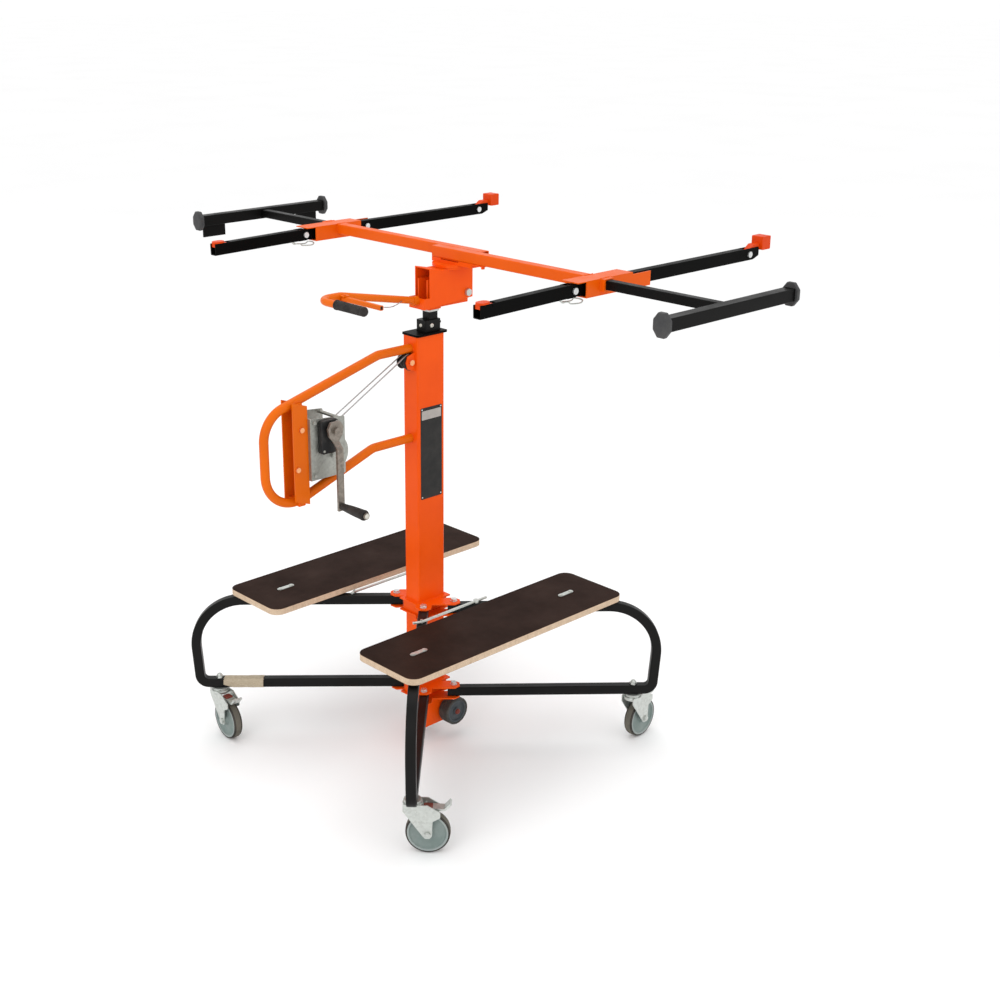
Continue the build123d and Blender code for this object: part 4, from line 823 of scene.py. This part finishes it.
def leg_wrap():
    """A thin paper sleeve, cut away underneath beside the caster."""
    bm = bmesh.new()
    root = on_leg("left", 0)
    way = on_leg("left", 1) - root
    side = Z.cross(way)
    rings = []
    count = 40
    for i in range(count + 1):
        t = i / count
        puff = 0.0002 * sin(9 * t) + 0.00015 * sin(23 * t + 1.0)
        shape = rounded_square(WRAP_HALF + puff, WRAP_HALF + puff * 0.7, WRAP_CORNER)
        ring = []
        for k, (a, b) in enumerate(shape):
            ragged = 0.002 * sin(k * 1.7 + 0.4) * (1 if i in (0, count) else 0)
            along = WRAP_FROM + WRAP_LENGTH * t + ragged
            hem = WRAP_HEM_Z + WRAP_HEM_SLOPE * max(0.0, along - WRAP_HEM_FROM)
            ring.append(root + way * along + side * a + Z * (LOW_BAR_Z + max(b, hem)))
        rings.append(ring)
    loft(bm, rings, close=False)
    piece = finish_piece("leg_wrap", bm, PAPER, "leg_left", 50)
    skin = piece.modifiers.new("paper", "SOLIDIFY")
    skin.thickness = 0.0004
    skin.offset = 0.0


leg_wrap()


# Arm latches

def latch(label, side):
    """A bent wire bail under an arm's hinge, open towards the arm's tip."""
    run = [(-0.050, 1.4400), (-0.045, 1.4318), (-0.034, 1.4335), (-0.018, 1.4318), (-0.016, 1.4262)]
    run += [(0.004, 1.4240), (0.026, 1.4225), (0.033, 1.4300)]
    points = []
    for s in (-1, 1):
        leg = [Vector((side * SLEEVE_X + s * LATCH_HALF, y, z)) for y, z in run]
        points += leg if s < 0 else leg[::-1]
    wire("latch_wire_" + label, points, LATCH_WIRE, ZINC, "cradle")


for place, sign in SIGNS.items():
    latch(place, sign)


# T extension ends

def octagon(half, radius, steps=4):
    """Points round an octagon with flat sides on its axes and rounded corners."""
    points = []
    for k in range(8):
        middle = pi / 8 + k * pi / 4
        reach = (half - radius) / cos(pi / 8)
        for i in range(steps + 1):
            a = middle - pi / 8 + pi / 4 * i / steps
            u = reach * cos(middle) + radius * cos(a)
            v = reach * sin(middle) + radius * sin(a)
            points.append((u, v))
    return points


def end_caps(label):
    """Moulded covers on the crossbar's ends, with a rounded rim and a slightly domed face."""
    levels = [(0.0284, -0.0032), (0.0289, -0.0022), (0.0289, 0.0062), (0.0283, 0.0082)]
    levels += [(0.0268, 0.0096), (0.0240, 0.0103), (0.0170, 0.0107)]
    bm = bmesh.new()
    for out in (-1, 1):
        end = Vector((T_BAR_X[label], BEAM_Y[label] + out * T_BAR_HALF, BEAM_Z))
        rings = []
        for half, along in levels:
            middle = end + Y * (out * along)
            shape = octagon(half, CAP_CORNER)
            rings.append([middle + X * (CAP_SLIM * a) + Z * b for a, b in shape])
        loft(bm, rings)
    finish_piece("end_caps_" + label, bm, CAP, "t_" + label, 35)


for place in SIGNS:
    end_caps(place)


# Winch screws

def winch_screws():
    """Screws of the gear cover, and bolts of the near side plate."""
    bm = bmesh.new()
    for z, y in ((1.008, -0.3965), (1.008, -0.3545), (1.083, -0.3545)):
        pan_screw(bm, Vector((GEAR_COVER_X, y, z)), X, 0.0036, 0.0018)
    for z in (1.087, 0.942):
        hex_screw(bm, Vector((SIDE_PLATE_X, SIDE_BOLT_Y, z)), X, 0.010, 0.005, 0.0085)
    finish_piece("winch_screws", bm, DULL_ZINC, "mast", 30)


winch_screws()


# Floor, light and camera

def studio():
    """A pale floor, an even white surround and three soft lights."""
    bm = bmesh.new()
    corners = ((-1, -1), (1, -1), (1, 1), (-1, 1))
    bm.faces.new([bm.verts.new((x * FLOOR_HALF, y * FLOOR_HALF, FLOOR_Z)) for x, y in corners])
    mesh = bpy.data.meshes.new("floor")
    bm.to_mesh(mesh)
    bm.free()
    floor = bpy.data.objects.new("floor", mesh)
    bpy.context.scene.collection.objects.link(floor)
    material, tree, shader, coords = start("floor_paint", IOR=1.3)
    tone = noise(tree, coords, 0.8, 2.0)
    pale = ramp(tree, tone, [(0.3, (0.96, 0.96, 0.96)), (0.7, (0.98, 0.98, 0.98))])
    tree.links.new(pale, shader.inputs["Base Color"])
    shader.inputs["Roughness"].default_value = 0.9
    mesh.materials.append(material)
    world = bpy.data.worlds.new("studio")
    world.use_nodes = True
    sky = world.node_tree.nodes["Background"]
    sky.inputs["Color"].default_value = (1.0, 1.0, 1.0, 1.0)
    sky.inputs["Strength"].default_value = SKY_STRENGTH
    bpy.context.scene.world = world
    for name, place, power in LIGHTS:
        data = bpy.data.lights.new(name, "AREA")
        data.size = LIGHT_SIZE
        data.energy = power
        light = bpy.data.objects.new(name, data)
        light.location = place
        light.rotation_mode = "QUATERNION"
        light.rotation_quaternion = (Vector(LIGHT_TARGET) - light.location).to_track_quat("-Z", "Y")
        bpy.context.scene.collection.objects.link(light)


def camera():
    """The main view, from the front right and a little above."""
    azimuth = radians(EYE_AZIMUTH)
    pitch = radians(EYE_PITCH)
    back = Vector((sin(azimuth) * cos(pitch), -cos(azimuth) * cos(pitch), sin(pitch)))
    data = bpy.data.cameras.new("camera")
    data.sensor_width = SENSOR_WIDTH
    data.lens = LENS
    data.shift_x = SHIFT_X
    eye = bpy.data.objects.new("camera", data)
    eye.location = EYE
    eye.rotation_mode = "QUATERNION"
    eye.rotation_quaternion = (-back).to_track_quat("-Z", "Y")
    bpy.context.scene.collection.objects.link(eye)
    bpy.context.scene.camera = eye


studio()
camera()
bpy.context.scene.view_settings.view_transform = "Standard"
